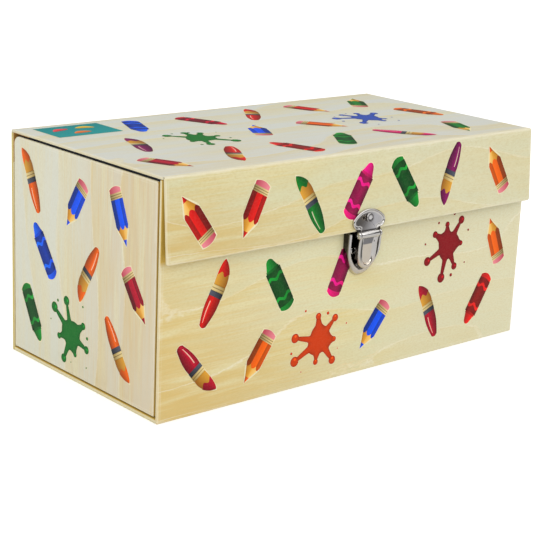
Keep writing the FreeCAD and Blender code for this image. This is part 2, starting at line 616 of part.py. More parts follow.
CROSS_X = (f"{INNER_X[0]} + drawer_cross", f"{INNER_X[0]} + drawer_cross + card_thick")
NEAR_SIDE_Y = (BOX_Y[0], f"{BOX_Y[0]} + card_thick")
FAR_SIDE_Y = (f"{BOX_Y[1]} - card_thick", BOX_Y[1])
CROSS_Y = (SPLIT_Y[1], FAR_SIDE_Y[0])


def upper_corner(side):
    """A test for the end panel's edge at its upper corner, at the front (-1) or at the back (1)."""
    level = value_of(PANEL_Z[1])
    depth = value_of(PANEL_Y[0] if side < 0 else PANEL_Y[1])
    return lambda edge: abs(edge.CenterOfMass.z - level) < 0.1 and abs(edge.CenterOfMass.y - depth) < 0.1 \
        and edge.Length < value_of("panel_thick") + 0.1


def as_built(pair):
    """The pair of expressions as it is."""
    return pair


for side, turned in (("left", as_built), ("right", mirrored)):
    board(f"{side}_drawer_panel", turned(PANEL_X), PANEL_Y, PANEL_Z, "wrap_round",
          [(upper_corner(-1), "panel_front_corner"), (upper_corner(1), "panel_back_corner")])
    board(f"{side}_drawer_floor", turned(BOX_X), BOX_Y, BOX_FLOOR, "card_round")
    board(f"{side}_drawer_head", turned((BOX_X[0], INNER_X[0])), BOX_Y, BOX_Z, "card_round")
    board(f"{side}_drawer_tail", turned((INNER_X[1], BOX_X[1])), BOX_Y, BOX_Z, "card_round")
    board(f"{side}_drawer_near_side", turned(INNER_X), NEAR_SIDE_Y, BOX_Z, "card_round")
    board(f"{side}_drawer_far_side", turned(INNER_X), FAR_SIDE_Y, BOX_Z, "card_round")
    board(f"{side}_drawer_long_divider", turned(INNER_X), SPLIT_Y, INNER_Z, "card_round")
    board(f"{side}_drawer_cross_divider", turned(CROSS_X), CROSS_Y, INNER_Z, "card_round")

# --------------------------------------------------------------------------------------------------
# Check every object, then write each piece
# --------------------------------------------------------------------------------------------------

doc.recompute()
for item in doc.Objects:
    assert not {"Invalid", "Error"} & set(item.State), f"{item.Label} did not compute"
os.makedirs("parts", exist_ok=True)
for piece in pieces:
    shape = piece.Shape
    assert not shape.isNull() and shape.isValid(), f"{piece.Label} has no valid shape"
    shape.exportStep(f"parts/{piece.Label}.step")
    print(f"{piece.Label}: {len(shape.Solids)} solid, {shape.Volume / 1000:.2f} cm3")
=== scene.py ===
# %% [markdown]
# # A pencil drawer box, dressed for its portrait
# The case is greyboard wrapped in printed paper. It has a hinged lid, a flap that hangs from the lid, a
# nickel flip clasp, a shallow tray and a drawer at each end. The solids come in as a fixed frame, at their
# real size. This lesson gives them paper, print and metal, and never moves them.

# %% Load the frame
import json
import math

import bmesh
import bpy
import numpy as np
from mathutils import Matrix, Vector


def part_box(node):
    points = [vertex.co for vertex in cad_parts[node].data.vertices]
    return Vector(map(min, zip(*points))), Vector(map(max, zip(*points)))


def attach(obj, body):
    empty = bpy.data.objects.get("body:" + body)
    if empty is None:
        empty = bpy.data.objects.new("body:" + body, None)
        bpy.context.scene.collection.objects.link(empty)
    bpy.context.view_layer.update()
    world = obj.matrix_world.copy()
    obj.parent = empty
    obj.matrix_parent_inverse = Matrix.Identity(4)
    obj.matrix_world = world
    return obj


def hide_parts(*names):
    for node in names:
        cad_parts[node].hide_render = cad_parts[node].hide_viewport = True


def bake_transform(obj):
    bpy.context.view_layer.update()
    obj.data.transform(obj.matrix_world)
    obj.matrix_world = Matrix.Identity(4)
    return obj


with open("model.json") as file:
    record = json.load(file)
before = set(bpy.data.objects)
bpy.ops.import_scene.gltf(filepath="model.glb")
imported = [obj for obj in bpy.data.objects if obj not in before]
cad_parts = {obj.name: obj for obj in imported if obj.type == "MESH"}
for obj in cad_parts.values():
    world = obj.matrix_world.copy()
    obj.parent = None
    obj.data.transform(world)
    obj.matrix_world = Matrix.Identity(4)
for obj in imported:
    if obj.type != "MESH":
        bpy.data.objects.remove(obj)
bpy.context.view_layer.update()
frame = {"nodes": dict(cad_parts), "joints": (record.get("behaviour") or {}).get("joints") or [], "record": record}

# %% [markdown]
# ## The sizes that the paper and the print need
# A print lies on a board's face, so its place is read from the board that carries it. A typed number would
# be wrong as soon as a board changes. One millimetre is written once, and every length below is a count
# of millimetres.

# %% Places on the boards
mm = 0.001
X, Y, Z = 0, 1, 2
front_low, front_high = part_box("front_board")
back_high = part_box("back_board")[1]
lid_low, lid_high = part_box("lid_board")
panel_low, panel_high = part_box("left_drawer_panel")
half_length = lid_high.x
hinge_places = {
    joint["name"]: np.array(joint["pos_m"]) for joint in frame["joints"] if joint["type"] == "hinge"}
crease = hinge_places["flap_hinge"]
flap_tilt = math.radians(4.2)
flap_face = 2.2 * mm
flap_drop = 48 * mm
case_size = [2 * half_length, back_high.y - front_low.y, lid_high.z]
print("case in mm:", [round(length / mm, 1) for length in case_size])

# %% [markdown]
# ## Numbers that vary over a surface
# A material is a graph of nodes, and by hand a line of arithmetic takes ten lines of links. So one small
# class wraps an output socket, and plus, minus, times and divide on it add the Math nodes. A formula in a
# docstring then reads like the code below it.

# %% A wire that can be calculated with
def math_node(operation, swapped=False):
    """A method of a wire that adds one Math node, on the wire and the other number or wire."""
    def method(wire, other=0.0):
        first, second = (other, wire) if swapped else (wire, other)
        return wire.finish.add("ShaderNodeMath", {"operation": operation}, Value=first, Value_001=second)
    return method


class Wire:
    """An output socket of a material. Arithmetic on it adds Math nodes to the same material."""

    __add__ = __radd__ = math_node("ADD")
    __sub__, __rsub__ = math_node("SUBTRACT"), math_node("SUBTRACT", swapped=True)
    __mul__ = __rmul__ = math_node("MULTIPLY")
    __truediv__ = math_node("DIVIDE")
    __abs__, rest = math_node("ABSOLUTE"), math_node("FRACT")
    at_least, at_most = math_node("MAXIMUM"), math_node("MINIMUM")

    def __init__(self, finish, socket):
        self.finish = finish
        self.socket = socket

    def clipped(self):
        return self.at_least(0.0).at_most(1.0)


print("a wire adds one Math node for each step of arithmetic")


# %% Colours
def ink(red, green, blue):
    """A colour given as 0 to 255 on a screen, as the linear numbers that a shader takes.

    Each channel c is divided by 255 and then becomes ((c + 0.055) / 1.055) to the power 2.4.
    """
    channels = (np.array([red, green, blue]) / 255 + 0.055) / 1.055
    return tuple(channels**2.4) + (1.0,)


def toned(first, second, share):
    """The first colour where share is 0, and the second where it is 1."""
    return np.array(first) * (1 - share) + np.array(second) * share


print("middle grey on a screen:", np.round(ink(128, 128, 128), 3))


# %% A material that is built from nodes
class Finish:
    """One material: its Principled shader, and one method that adds any other node."""

    def __init__(self, name, **constants):
        self.material = bpy.data.materials.new(name)
        self.material.use_nodes = True
        self.tree = self.material.node_tree
        self.shader = self.tree.nodes["Principled BSDF"]
        self.feed_shader(**constants)

    def add(self, kind, settings=None, want=0, **sockets):
        """A new node of that kind, with its settings and a value or a wire for each socket by identifier."""
        node = self.tree.nodes.new(kind)
        for name, value in (settings or {}).items():
            setattr(node, name, value)
        for key, value in sockets.items():
            self.feed(next(s for s in node.inputs if s.identifier.replace(" ", "_") == key), value)
        return Wire(self, node.outputs[want])

    def feed(self, socket, value):
        """The value set on the socket, or the wire linked to it."""
        if isinstance(value, Wire):
            self.tree.links.new(value.socket, socket)
        else:
            socket.default_value = value

    def feed_shader(self, **values):
        """Each value or wire to the shader's socket of that name."""
        for name, value in values.items():
            self.feed(self.shader.inputs[name.replace("_", " ")], value)

    def places(self):
        """The three object coordinates, in millimetres, as wires."""
        object_place = self.add("ShaderNodeTexCoord", want=3)
        parts = [self.add("ShaderNodeSeparateXYZ", want=k, Vector=object_place) for k in range(3)]
        return [part * (1 / mm) for part in parts]

    def noise(self, x, y, z, detail=2.0, roughness=0.5):
        """Soft noise, from 0 to 1 with a middle of 0.5, at the place (x, y, z)."""
        place = self.add("ShaderNodeCombineXYZ", X=x, Y=y, Z=z)
        return self.add(
            "ShaderNodeTexNoise", Vector=place, Scale=1.0, Detail=detail, Roughness=roughness)

    def layered(self, colour, *layers, mode="MIX"):
        """The colour with each layer, an amount and a colour, mixed over it in turn."""
        settings = {"data_type": "RGBA", "blend_type": mode}
        for amount, layer in layers:
            colour = self.add(
                "ShaderNodeMix", settings, want=2, Factor_Float=amount, A_Color=colour, B_Color=layer)
        return colour

    def bump(self, height, distance, strength):
        """Fine relief of that height, with no change to the mesh."""
        relief = self.add("ShaderNodeBump", Height=height, Distance=distance, Strength=strength)
        self.feed_shader(Normal=relief)


print("a finish is one material, with a method for each kind of layer")

# %% [markdown]
# ## Printed paper with a wood grain
# The wrap is satin paper, printed with flat-sawn pine. On a flat-sawn board each growth ring shows as a
# long wandering line. The wood is tan on one side of the line and pale on the other, and fades from line
# to line. A Wave Texture could draw stripes, but they would be too even. So the lines are a sawtooth: the
# distance across the board, bent by slow noise, counted in rings, with the whole part thrown away. Noise
# that is stretched along the grain makes the fibres and the pores.

# %% The wood that is printed on the paper
RING_WIDTH, RING_WANDER, RING_RAGGED = 36.0, 110.0, 2.2
PALE_PINE, TAN_PINE, AMBER = ink(223, 219, 178), ink(227, 205, 132), ink(218, 187, 114)
PALE_PATCH, CREAM, FAR_CREAM = ink(226, 222, 190), ink(231, 225, 182), ink(223, 219, 190)
VEIN, PORE, COOL_WHITE = ink(240, 236, 214), ink(206, 186, 120), ink(217, 221, 220)


def wood(paper, a, b, side, rise, shift, warm, pale, cool):
    """The colour of flat-sawn pine at a along the grain and b across it, with its pores and its streaks.

    Ring = fraction of ((b + 110 (slow noise - 0.5) + 2.2 (ragged noise - 0.5)) / 36 mm + shift).
    Tan = 0.78 ring + 0.9 streak + 1.5 band - 1.3, where streak and band are noise stretched along a.
    Glow = 0.5 streak + 0.7 band - lean * side - fall * rise - start is an orange tone, and warm holds its
    amount, start, lean and fall. side and rise run from -1 to 1 over the board, and pale whitens the high
    side. cool is how much of a cool white is mixed in.
    """
    slow = paper.noise(a / 170 + shift, b / 70 + 2.7 * shift, shift, detail=1.0)
    ragged = paper.noise(a / 5, b / 2, shift + 4, detail=2.0)
    bent = b + (slow - 0.5) * RING_WANDER + (ragged - 0.5) * RING_RAGGED
    ring = (bent / RING_WIDTH + shift).rest()
    streak = paper.noise(a / 30, b / 1.1, shift + 3, detail=3.0, roughness=0.62)
    band = paper.noise(a / 75, b / 7, shift + 8, detail=2.0)
    patch = paper.noise(a / 110 + 7, b / 60, shift + 9, detail=1.0)
    pore = paper.noise(a / 1.9, b / 0.9, shift + 5, detail=3.0)
    tan = (ring * 0.78 + streak * 0.9 + band * 1.5 - 1.3).clipped()
    amount, start, lean, fall = warm
    glow = (streak * 0.5 + band * 0.7 - side * lean - rise * fall - start).clipped()
    vein = (1 - abs(ring - 0.985) * 46).clipped() * (band * 2.4 - 0.5).clipped()
    colour = paper.layered(
        PALE_PINE, (tan, TAN_PINE),
        ((patch * 3 + band * 1.4 - 2.0).clipped() * 0.55, PALE_PATCH),
        (glow * amount, AMBER),
        ((band * 5 - streak * 1.4 - 1.75).clipped() * 0.62, CREAM),
        ((side * 2.4 + band * 1.2 - 0.5).clipped() * pale, FAR_CREAM),
        (vein * 0.72, VEIN),
        ((pore * 2.6 - 1.1).clipped() * 0.42, PORE),
        ((1 - tan * 0.8) * cool, COOL_WHITE))
    return colour, pore, streak


print("growth rings", RING_WIDTH, "mm wide, bent by up to", RING_WANDER / 2, "mm")


# %% Paper that is rubbed pale along its folds
RUBBED, TURNED_EDGE = ink(236, 229, 204), ink(240, 234, 214)
DIMMING_GREY, END_OLIVE_AND_SHADE, GAP_SHADE_GOLD = ink(190, 190, 186), ink(200, 178, 92), ink(208, 170, 64)
END_WIDTH, EDGE_LINE = 0.6, 2.1


def grain_paper(name, box, along, across, shift, warm, cool=0.0, pale=0.0, painted_dimming=0.0, end_tone_and_shade=0.0, gap=None):
    """Printed paper for a board with that box, with the grain's axes along and across.

    Wear = (2.6 noise + 0.1 - distance to the nearest side in mm) * 1.1. painted_dimming darkens the whole
    board a little as painted shade. end_tone_and_shade is how dark the board's ends are, partly a deeper
    print and partly painted shade. gap is where the board is painted a dark golden shade in a gap: an
    axis, the millimetres at which that starts and is full, and its reach from the ends.
    """
    paper = Finish(name, Roughness=0.42, Specular_IOR_Level=0.35)
    place = paper.places()
    middle, half = (box[0] + box[1]) / (2 * mm), (box[1] - box[0]) / (2 * mm)
    in_a, in_b = place[along] - middle[along], place[across] - middle[across]
    side, rise = in_a / half[along], in_b / half[across]
    if along == Z:
        side, rise = rise, side
    colour, pore, streak = wood(paper, place[along], place[across], side, rise, shift, warm, pale, cool)
    to_end = half[along] - abs(in_a)
    to_edge = to_end.at_most(half[across] - abs(in_b))
    rubbed = paper.noise(place[X] / 9, place[Y] / 9, place[Z] / 9, detail=3.0)
    wear = ((rubbed * 2.6 + 0.1 - to_edge) * 1.1).clipped()
    line = (1 - abs(to_edge - EDGE_LINE) * 2.2).clipped() * (rubbed * 2.2 - 0.55).clipped()
    at_end = (1 - to_end / END_WIDTH).clipped()
    # Painted shade: a share of grey multiplies the whole board darker.
    colour = paper.layered(colour, (painted_dimming, DIMMING_GREY), mode="MULTIPLY")
    # Partly painted shade: the board's ends turn olive, for a deeper print there and the shade on them.
    colour = paper.layered(
        colour, (wear * 0.5, RUBBED), (line * 0.34, TURNED_EDGE), (at_end * end_tone_and_shade, END_OLIVE_AND_SHADE))
    # Painted shade: faces inside a gap between boards are painted dark gold, as paper in shade.
    if gap:
        axis, start, full, reach = gap
        gap_shade = ((place[axis] - start) / (full - start)).clipped()
        gap_shade = gap_shade * ((reach - to_end) * 2).clipped() * (to_end * 6 - 0.6).clipped()
        colour = paper.layered(colour, (gap_shade * 0.92, GAP_SHADE_GOLD))
    paper.feed_shader(Base_Color=colour, Roughness=0.36 + pore * 0.1 + wear * 0.16)
    paper.bump(pore * 0.5 + streak * 0.5, 0.04 * mm, 0.6)
    return paper.material


print("folded edge lines", EDGE_LINE, "mm from the sides")

# %% Each board's paper
upright, flat, end_panel = dict(along=X, across=Z), dict(along=X, across=Y), dict(along=Z, across=Y)
low_left = (0.9, 0.9, 1.0, 0.55)
wraps = {
    "front_board": dict(upright, shift=0.0, warm=low_left, pale=0.62, end_tone_and_shade=0.15, gap=(Z, 91, 94, 4)),
    "back_board": dict(upright, shift=4.3, warm=(0.4, 0.9, 1.0, 0.55), pale=0.4, end_tone_and_shade=0.95),
    "base_board": dict(flat, shift=8.1, warm=(0.3, 0.9, 1.0, 0.5), end_tone_and_shade=0.2, gap=(Z, 1.8, 2.3, 7)),
    "lid_board": dict(flat, shift=2.2, warm=(0.55, 0.6, 0.2, 0.8), cool=0.74, end_tone_and_shade=0.3),
    "flap_board": dict(upright, shift=6.4, warm=low_left, pale=0.4, painted_dimming=0.13, end_tone_and_shade=0.2),
    "left_drawer_panel": dict(
        end_panel, shift=1.3, warm=(1.0, 0.2, 1.0, 0.0), cool=0.5, pale=0.3, gap=(X, -149.3, -149.0, 500)),
    "right_drawer_panel": dict(
        end_panel, shift=5.6, warm=(0.7, 0.2, 1.0, 0.0), cool=0.4, pale=0.2, gap=(X, 149.3, 149.0, 500))}


def dress(node, material):
    """The material in every slot of a CAD node."""
    piece = frame["nodes"][node]
    for slot in piece.material_slots:
        slot.material = material


for node, look in wraps.items():
    dress(node, grain_paper(f"{node}_paper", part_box(node), **look))
print("printed boards:", len(wraps))

# %% [markdown]
# ## Black card, lining paper and hinge paper
# The tray, the liners and the drawers are board wrapped in black paper, and the hinge strips are brown
# kraft paper. One flat colour would look like plastic, because the fibres of paper catch the light. So
# stretched noise lays a lighter tone over the colour, and slower noise adds soft clouds of it.

# %% Plain papers
def plain_paper(name, colour, lighter, roughness=0.75):
    """Unprinted paper: long soft fibres made of stretched noise, a little lighter where they lie on top."""
    paper = Finish(name, Roughness=roughness)
    x, y, z = paper.places()
    fibre = paper.noise(x / 1.9, y / 0.5, z / 0.5, detail=4.0, roughness=0.65)
    cloud = paper.noise(x / 30, y / 30, z / 30, detail=2.0)
    shade = paper.layered(
        colour, ((fibre * 1.5 - 0.4).clipped() * 0.5, lighter), ((cloud * 2 - 0.7).clipped() * 0.35, lighter))
    paper.feed_shader(Base_Color=shade, Roughness=roughness - 0.08 + cloud * 0.16)
    paper.bump(fibre, 0.05 * mm, 0.8)
    return paper.material


papers = {
    "black_card": plain_paper("black_card_paper", ink(50, 55, 66), ink(72, 78, 90)),
    "lining_paper": plain_paper("lining_paper_black", ink(44, 48, 58), ink(62, 68, 79), 0.68),
    "tan_strip": plain_paper("hinge_kraft_paper", ink(178, 132, 62), ink(204, 164, 92), 0.7)}
for part in frame["record"]["subparts"]:
    if part["material_slot"] in papers:
        dress(part["node"], papers[part["material_slot"]])
print("plain papers:", sorted(papers))

# %% [markdown]
# ## Surfaces from whole arrays
# The metal and the print could be modelled by hand, but then their sizes would be hidden in the meshes.
# Here every shape is a grid of points worked out at once, with a row for each step of one parameter and a
# column for each step of the other. Where grids meet, their doubled points are welded, so light runs over
# the seam.

# %% Grids and meshes
WELD, SHARP = 0.002 * mm, math.radians(50)


def grid_faces(rows, columns, start):
    """Corner numbers of the quads of a grid whose first point is number start."""
    number = start + np.arange(rows * columns).reshape(rows, columns)
    corners = [number[:-1, :-1], number[1:, :-1], number[1:, 1:], number[:-1, 1:]]
    return np.stack(corners, axis=-1).reshape(-1, 4)


def joined(patches):
    """The points, quads and tones of many grids. Each grid is its points, and a tone or one per point."""
    points, tones, quads, count = [], [], [], 0
    for place, tone in patches:
        points.append(place.reshape(-1, 3))
        tones.append(np.broadcast_to(tone, place.shape[:2] + (4,)).reshape(-1, 4))
        quads.append(grid_faces(*place.shape[:2], count))
        count += place.shape[0] * place.shape[1]
    return [np.concatenate(rows) for rows in (points, quads, tones)]


def added(name, data):
    """A new object of that data, in the scene."""
    piece = bpy.data.objects.new(name, data)
    bpy.context.scene.collection.objects.link(piece)
    return piece


def mesh_piece(name, points, quads, material, tones=None, weld=False):
    """A mesh object made from whole arrays of points and quads, with a colour for each point of tones.

    Metal and folded paper are smooth, and flat print, which has tones and no weld, isn't.
    """
    mesh = bpy.data.meshes.new(name)
    mesh.from_pydata(points, [], quads.tolist())
    if tones is not None:
        layer = mesh.color_attributes.new("ink", "FLOAT_COLOR", "POINT")
        layer.data.foreach_set("color", tones.ravel())
    if weld:
        work = bmesh.new()
        work.from_mesh(mesh)
        bmesh.ops.remove_doubles(work, verts=work.verts, dist=WELD)
        bmesh.ops.recalc_face_normals(work, faces=work.faces)
        work.to_mesh(mesh)
        work.free()
    mesh.polygons.foreach_set("use_smooth", np.full(len(mesh.polygons), weld or tones is None))
    if weld:
        mesh.set_sharp_from_angle(angle=SHARP)
    mesh.materials.append(material)
    return added(name, mesh)


print("quads of a grid of 2 by 3 points:", grid_faces(2, 3, 0).tolist())


# %% Paths for profiles and outlines
def arc(centre, radius, start, end, count=9):
    """Points on a circle: centre + radius (cos t, sin t), with t in degrees from start to end."""
    t = np.radians(np.linspace(start, end, count))
    return np.array(centre) + radius * np.stack([np.cos(t), np.sin(t)], axis=1)


def spread(path, count):
    """The path again, with its points at equal steps of its length."""
    length = np.concatenate([[0], np.cumsum(np.linalg.norm(np.diff(path, axis=0), axis=1))])
    even = np.linspace(0, length[-1], count)
    return np.stack([np.interp(even, length, path[:, k]) for k in (0, 1)], axis=1)


def softened(path, rounds=3):
    """The path with its corners cut: each step gives the points 1/4 and 3/4 of the way along it."""
    path = np.array(path, dtype=float)
    for _ in range(rounds):
        cuts = np.stack([0.75 * path[:-1] + 0.25 * path[1:], 0.25 * path[:-1] + 0.75 * path[1:]], axis=1)
        path = np.concatenate([path[:1], cuts.reshape(-1, 2), path[-1:]])
    return path


print("a corner cut three times has", len(softened([[0, 0], [1, 0], [1, 1]])), "points")

# %% [markdown]
# ## Bright nickel
# The clasp is pressed steel with a nickel plate. Nickel is a warm grey mirror, so most of what it shows
# is the room. Where two pressed pieces lie close, shadow makes it dark. An Ambient Occlusion node could
# find those places in every render, but a tone kept at each point of the mesh is simpler and exact. The
# tones are painted light: painted shade in those places, and painted highlights and reflections of the room.

# %% The clasp's finish
def nickel(name, shine):
    """Plated metal: each point's tone, with painted shade and highlights; roughness is shine plus cloudy noise."""
    metal = Finish(name, Metallic=1.0)
    x, y, z = metal.places()
    cloud = metal.noise(x / 4, y / 4, z / 4, detail=3.0)
    scratch = metal.noise(x / 0.25, y / 0.25, z / 6, detail=2.0)
    tone = metal.add("ShaderNodeAttribute", {"attribute_name": "ink"})
    tone = metal.layered(tone, ((cloud * 2 - 0.7).clipped() * 0.16, ink(150, 146, 140)))
    metal.feed_shader(Base_Color=tone, Roughness=shine + cloud * 0.08)
    metal.bump(scratch, 0.01 * mm, 0.12)
    return metal.material


BRIGHT, WARM_REFLECTION, DARK = ink(198, 195, 192), ink(206, 196, 182), ink(38, 35, 32)
DISH, DISH_SHADE_GREY, HINGE_REFLECTION_GREY, WELL_SHADE = ink(178, 176, 178), ink(84, 80, 77), ink(122, 121, 124), ink(80, 74, 66)
HOLE_SHADE, HOLE_LIP = ink(20, 16, 12), ink(150, 140, 126)
BUTTON_RIM_HIGHLIGHT, BUTTON_FACE_SHADE = ink(226, 224, 222), ink(116, 113, 114)
plate_metal = nickel("bright_nickel_plate", 0.05)
rivet_metal = nickel("rivet_steel", 0.09)
bodies = frame["record"]["behaviour"]["bodies"]
body_of_node = {node: body for body, nodes in bodies.items() for node in nodes}
print("the clasp's bodies:", sorted({body_of_node[node] for node in body_of_node if "clasp" in node}))

# %% [markdown]
# ## Pressed sheet and turned pins
# A press bends flat sheet over a die, which rolls the rim to one shape. A Bevel modifier would round it
# like a cut block, so a pressed piece is a profile carried along its outline instead. The profile gives
# the way in from the outline and the height above the board, and the middle is closed by chords or by
# rays. A pin, a knuckle or a rivet is a profile turned about a line. Each frame has x along the case, out
# of the face, and up.

# %% Ways to press and turn
def inward(outline, closed=False):
    """The unit vector at each point that points left of the way along the outline, which is the inside."""
    ahead = np.roll(outline, -1, 0) - np.roll(outline, 1, 0) if closed else np.gradient(outline, axis=0)
    ahead = ahead / np.linalg.norm(ahead, axis=1, keepdims=True)
    return np.stack([-ahead[:, 1], ahead[:, 0]], axis=1)


def carried(outline, way, profile):
    """Point(u, v) = outline(u) + inset(u, v) * inward(u), at the height(u, v). It gives (x, out, up)."""
    flat = outline[:, None] + profile[..., :1] * way[:, None]
    return np.stack([flat[..., 0], profile[..., 1] + 0 * flat[..., 0], flat[..., 1]], axis=-1)


def chords(row):
    """The sheet between the two halves of an open outline: (1 - w) left + w right."""
    half = len(row) // 2 + 1
    w = np.linspace(0, 1, 17)[None, :, None]
    return row[:half, None] * (1 - w) + row[::-1][:half, None] * w


def brought_down(row):
    """The flat end of a pressed sheet: the row of points brought straight down to the board."""
    w = np.linspace(0, 1, 5)[:, None, None]
    return row[None] * (1 - w * np.array([0, 1, 0]))


def turned(profile, along=0):
    """A profile of (place, radius) turned about x if along is 0, or about the way out if it is 1."""
    t = np.linspace(0, 2 * np.pi, 65)[None, :]
    place, radius = profile[:, :1] + 0 * t, profile[:, 1:]
    across, up = radius * np.cos(t), radius * np.sin(t)
    return np.stack([place, across, up] if along == 0 else [across, place, up], axis=-1)


def stacked(section, rows, along):
    """A block: its section at each place along an axis, drawn in towards its middle by that row's share."""
    middle = section.mean(axis=0)
    return np.stack([
        np.insert(middle + share * (section - middle), along, place, axis=1) for place, share in rows])


def shield(half, side_radius, foot_radius, foot, top):
    """An open outline of smooth arcs, down its left side, round its foot and up its right side."""
    lean = math.acos((side_radius - half) / (side_radius - foot_radius))
    shoulder = foot + foot_radius + (side_radius - foot_radius) * math.sin(lean)
    lean = math.degrees(lean)
    left = arc((side_radius - half, shoulder), side_radius, 180, 180 + lean, 40)
    bottom = arc((0, foot + foot_radius), foot_radius, 180 + lean, 360 - lean, 60)
    path = np.concatenate([[[-half, top]], left, bottom[1:-1], left[::-1] * [-1, 1], [[half, top]]])
    return spread(path, 161)


print("a turned pin of 3 rows is a grid of", turned(np.ones((3, 2))).shape[:2], "points")


# %% One piece, and where the clasp's parts sit
def pressed_piece(name, node, patches, seat, material):
    """The patches, in millimetres, as one piece for the node.

    The seat is where their zero lies, the way out of the face, and the way up.
    """
    origin, out, up = seat
    axes = np.stack([[1, 0, 0], out, up])
    points, quads, tones = joined([(origin + place * mm @ axes, tone) for place, tone in patches])
    piece = mesh_piece(name, points, quads, material, tones, weld=True)
    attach(piece, body_of_node[node])
    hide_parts(node)
    print(name, len(piece.data.polygons), "faces")


RIVET_DOWN, TUBE = 40.3, 2.3
up_front, out_front = np.array([0, 0, 1.0]), np.array([0, -1.0, 0])
tilt_down = np.array([0, -math.sin(flap_tilt), -math.cos(flap_tilt)])
flap_out = np.array([0, -math.cos(flap_tilt), math.sin(flap_tilt)])
hinge_place = hinge_places["clasp_hinge"]
on_flap = (crease + flap_out * flap_face + tilt_down * RIVET_DOWN * mm, flap_out, -tilt_down)
on_pin = (hinge_place, flap_out, -tilt_down)
on_hinge = (hinge_place, out_front, up_front)
on_board = (np.array([0, front_low.y, hinge_place[2]]), out_front, up_front)
print("hinge axis:", hinge_place.round(4))

# %% Plate on the flap
LOBE_X, LOBE_Z, LOBE_RADIUS, LOBE_TURN = 8.9, -2.4, 4.2, 46
CROWN_Z, CROWN_RADIUS = -11.6, 17
NECK_HALF, NECK_Z, NECK_ROUND, FOOT_Z = 7, -7.8, 1.2, -8.3
EYELET = np.array([-4.4, 0, 0.2])


def plate_outline():
    """The closed outline: a round lobe at each side, a wide crown, and a neck with a straight foot."""
    neck = NECK_HALF + NECK_ROUND
    return spread(np.concatenate([
        arc((LOBE_X, LOBE_Z), LOBE_RADIUS, -90, LOBE_TURN, 30),
        arc((0, CROWN_Z), CROWN_RADIUS, LOBE_TURN, 180 - LOBE_TURN, 60)[1:],
        arc((-LOBE_X, LOBE_Z), LOBE_RADIUS, 180 - LOBE_TURN, 270, 30)[1:],
        arc((-neck, NECK_Z), NECK_ROUND, 90, 0), [[-NECK_HALF, FOOT_Z], [NECK_HALF, FOOT_Z]],
        arc((neck, NECK_Z), NECK_ROUND, 180, 90), [[LOBE_X, LOBE_Z - LOBE_RADIUS]]]), 281)


def plate_sheet():
    """The rolled rim, which is open at the foot, and the dish inside it.

    Shade = 0.8 - 0.065 x - 0.05 (distance from a point 3 mm left of the rivet) paints shade on the dish,
    and the foot by the hinge is painted dark as shade.
    """
    outline = plate_outline()
    way = inward(outline[:-1], closed=True)
    way = np.concatenate([way, way[:1]])
    rim = softened([
        [0, 0], [0, 0.9], [0.02, 1.5], [0.5, 1.85], [1.0, 1.5], [1.2, 1.0], [1.6, 0.9], [2.2, 0.88]])
    opening = np.clip((outline[:, 1:] + 8.0) / 0.9, 0, 1)
    low_rim = np.minimum(rim[:, 1], 1.0)
    profile = np.stack([rim[:, 0] * opening, low_rim + (rim[:, 1] - low_rim) * opening], axis=-1)
    ring = carried(outline, way, profile)
    w = np.linspace(0, 1, 20)[None, :, None]
    dish = ring[:, -1:] * (1 - w * np.array([1, 0, 1]))
    # Painted shade: the dish darkens to the left of the rivet, and its foot by the hinge turns dark.
    from_left = np.linalg.norm(dish[..., ::2] - [-3, 0], axis=-1, keepdims=True)
    dish_shade = np.clip(0.8 - 0.065 * dish[..., :1] - 0.05 * from_left, 0, 1)
    shade_by_hinge = np.clip((-7.2 - dish[..., 2:]) / 0.3, 0, 1)
    return [(ring, BRIGHT), (dish, toned(toned(DISH, DISH_SHADE_GREY, dish_shade), DARK, shade_by_hinge))]


print("plate in mm:", np.ptp(plate_outline(), axis=0).round(1))


# %% Knuckles, eyelet and button
def knuckles():
    """A knuckle at each end of the barrel, and the ear of sheet that carries it, painted dark as shade."""
    to_hinge = np.array([0, 1.2, -10.2])
    knuckle = turned(softened([[7.9, 0], [7.9, 1.6], [8.1, TUBE], [9.0, TUBE], [9.6, 1.5], [9.65, 0]]))
    section = softened([[0.0, -9.4], [0.0, -5.6], [1.0, -5.6], [1.0, -9.4], [0.0, -9.4]], 1)
    ear = stacked(section, ((6.8, 0), (6.8, 1), (9.6, 1), (9.6, 0)), 0)
    patches = []
    for mirror in ([1, 1, 1], [-1, 1, 1]):
        patches += [(knuckle * mirror + to_hinge, BRIGHT), (ear * mirror, DARK)]
    return patches


def eyelet():
    """The small stamped hole beside the rivet, a short tube painted near black as shade, and its lip."""
    lip = softened([[0.9, 1.1], [1.05, 1.15], [1.12, 1.3], [1.05, 1.45], [0.9, 1.5]])
    hole = np.array([[0.93, 0], [0.93, 1.2]])
    return [(turned(hole, 1) + EYELET, HOLE_SHADE), (turned(lip, 1) + EYELET, HOLE_LIP)]


def button():
    """The rivet's dished head: a rim with a painted highlight round a face in painted shade."""
    head = turned(softened([
        [2.35, 0], [2.35, 1.3], [2.6, 2.0], [2.5, 2.6], [1.7, 2.75], [1.1, 2.5], [0.8, 1.9]]), 1)
    face = np.clip((head[..., 1:2] - 2.3) / 0.2, 0, 1)
    return [(head, toned(BUTTON_RIM_HIGHLIGHT, BUTTON_FACE_SHADE, face))]


pin = turned(softened([[-10.0, 0], [-10.0, 0.5], [-9.7, 0.65], [9.7, 0.65], [10.0, 0.5], [10.0, 0]]))
plate = plate_sheet() + knuckles() + eyelet()
pressed_piece("clasp_plate_bright", "clasp_plate", plate, on_flap, plate_metal)
pressed_piece("clasp_plate_button", "clasp_plate_rivet", button(), on_flap, rivet_metal)
pressed_piece("clasp_pin_bright", "clasp_pin", [(pin, BRIGHT)], on_pin, rivet_metal)

# %% Tongue
TONGUE_HALF, TONGUE_LEAN = 7.6, math.radians(3.5)


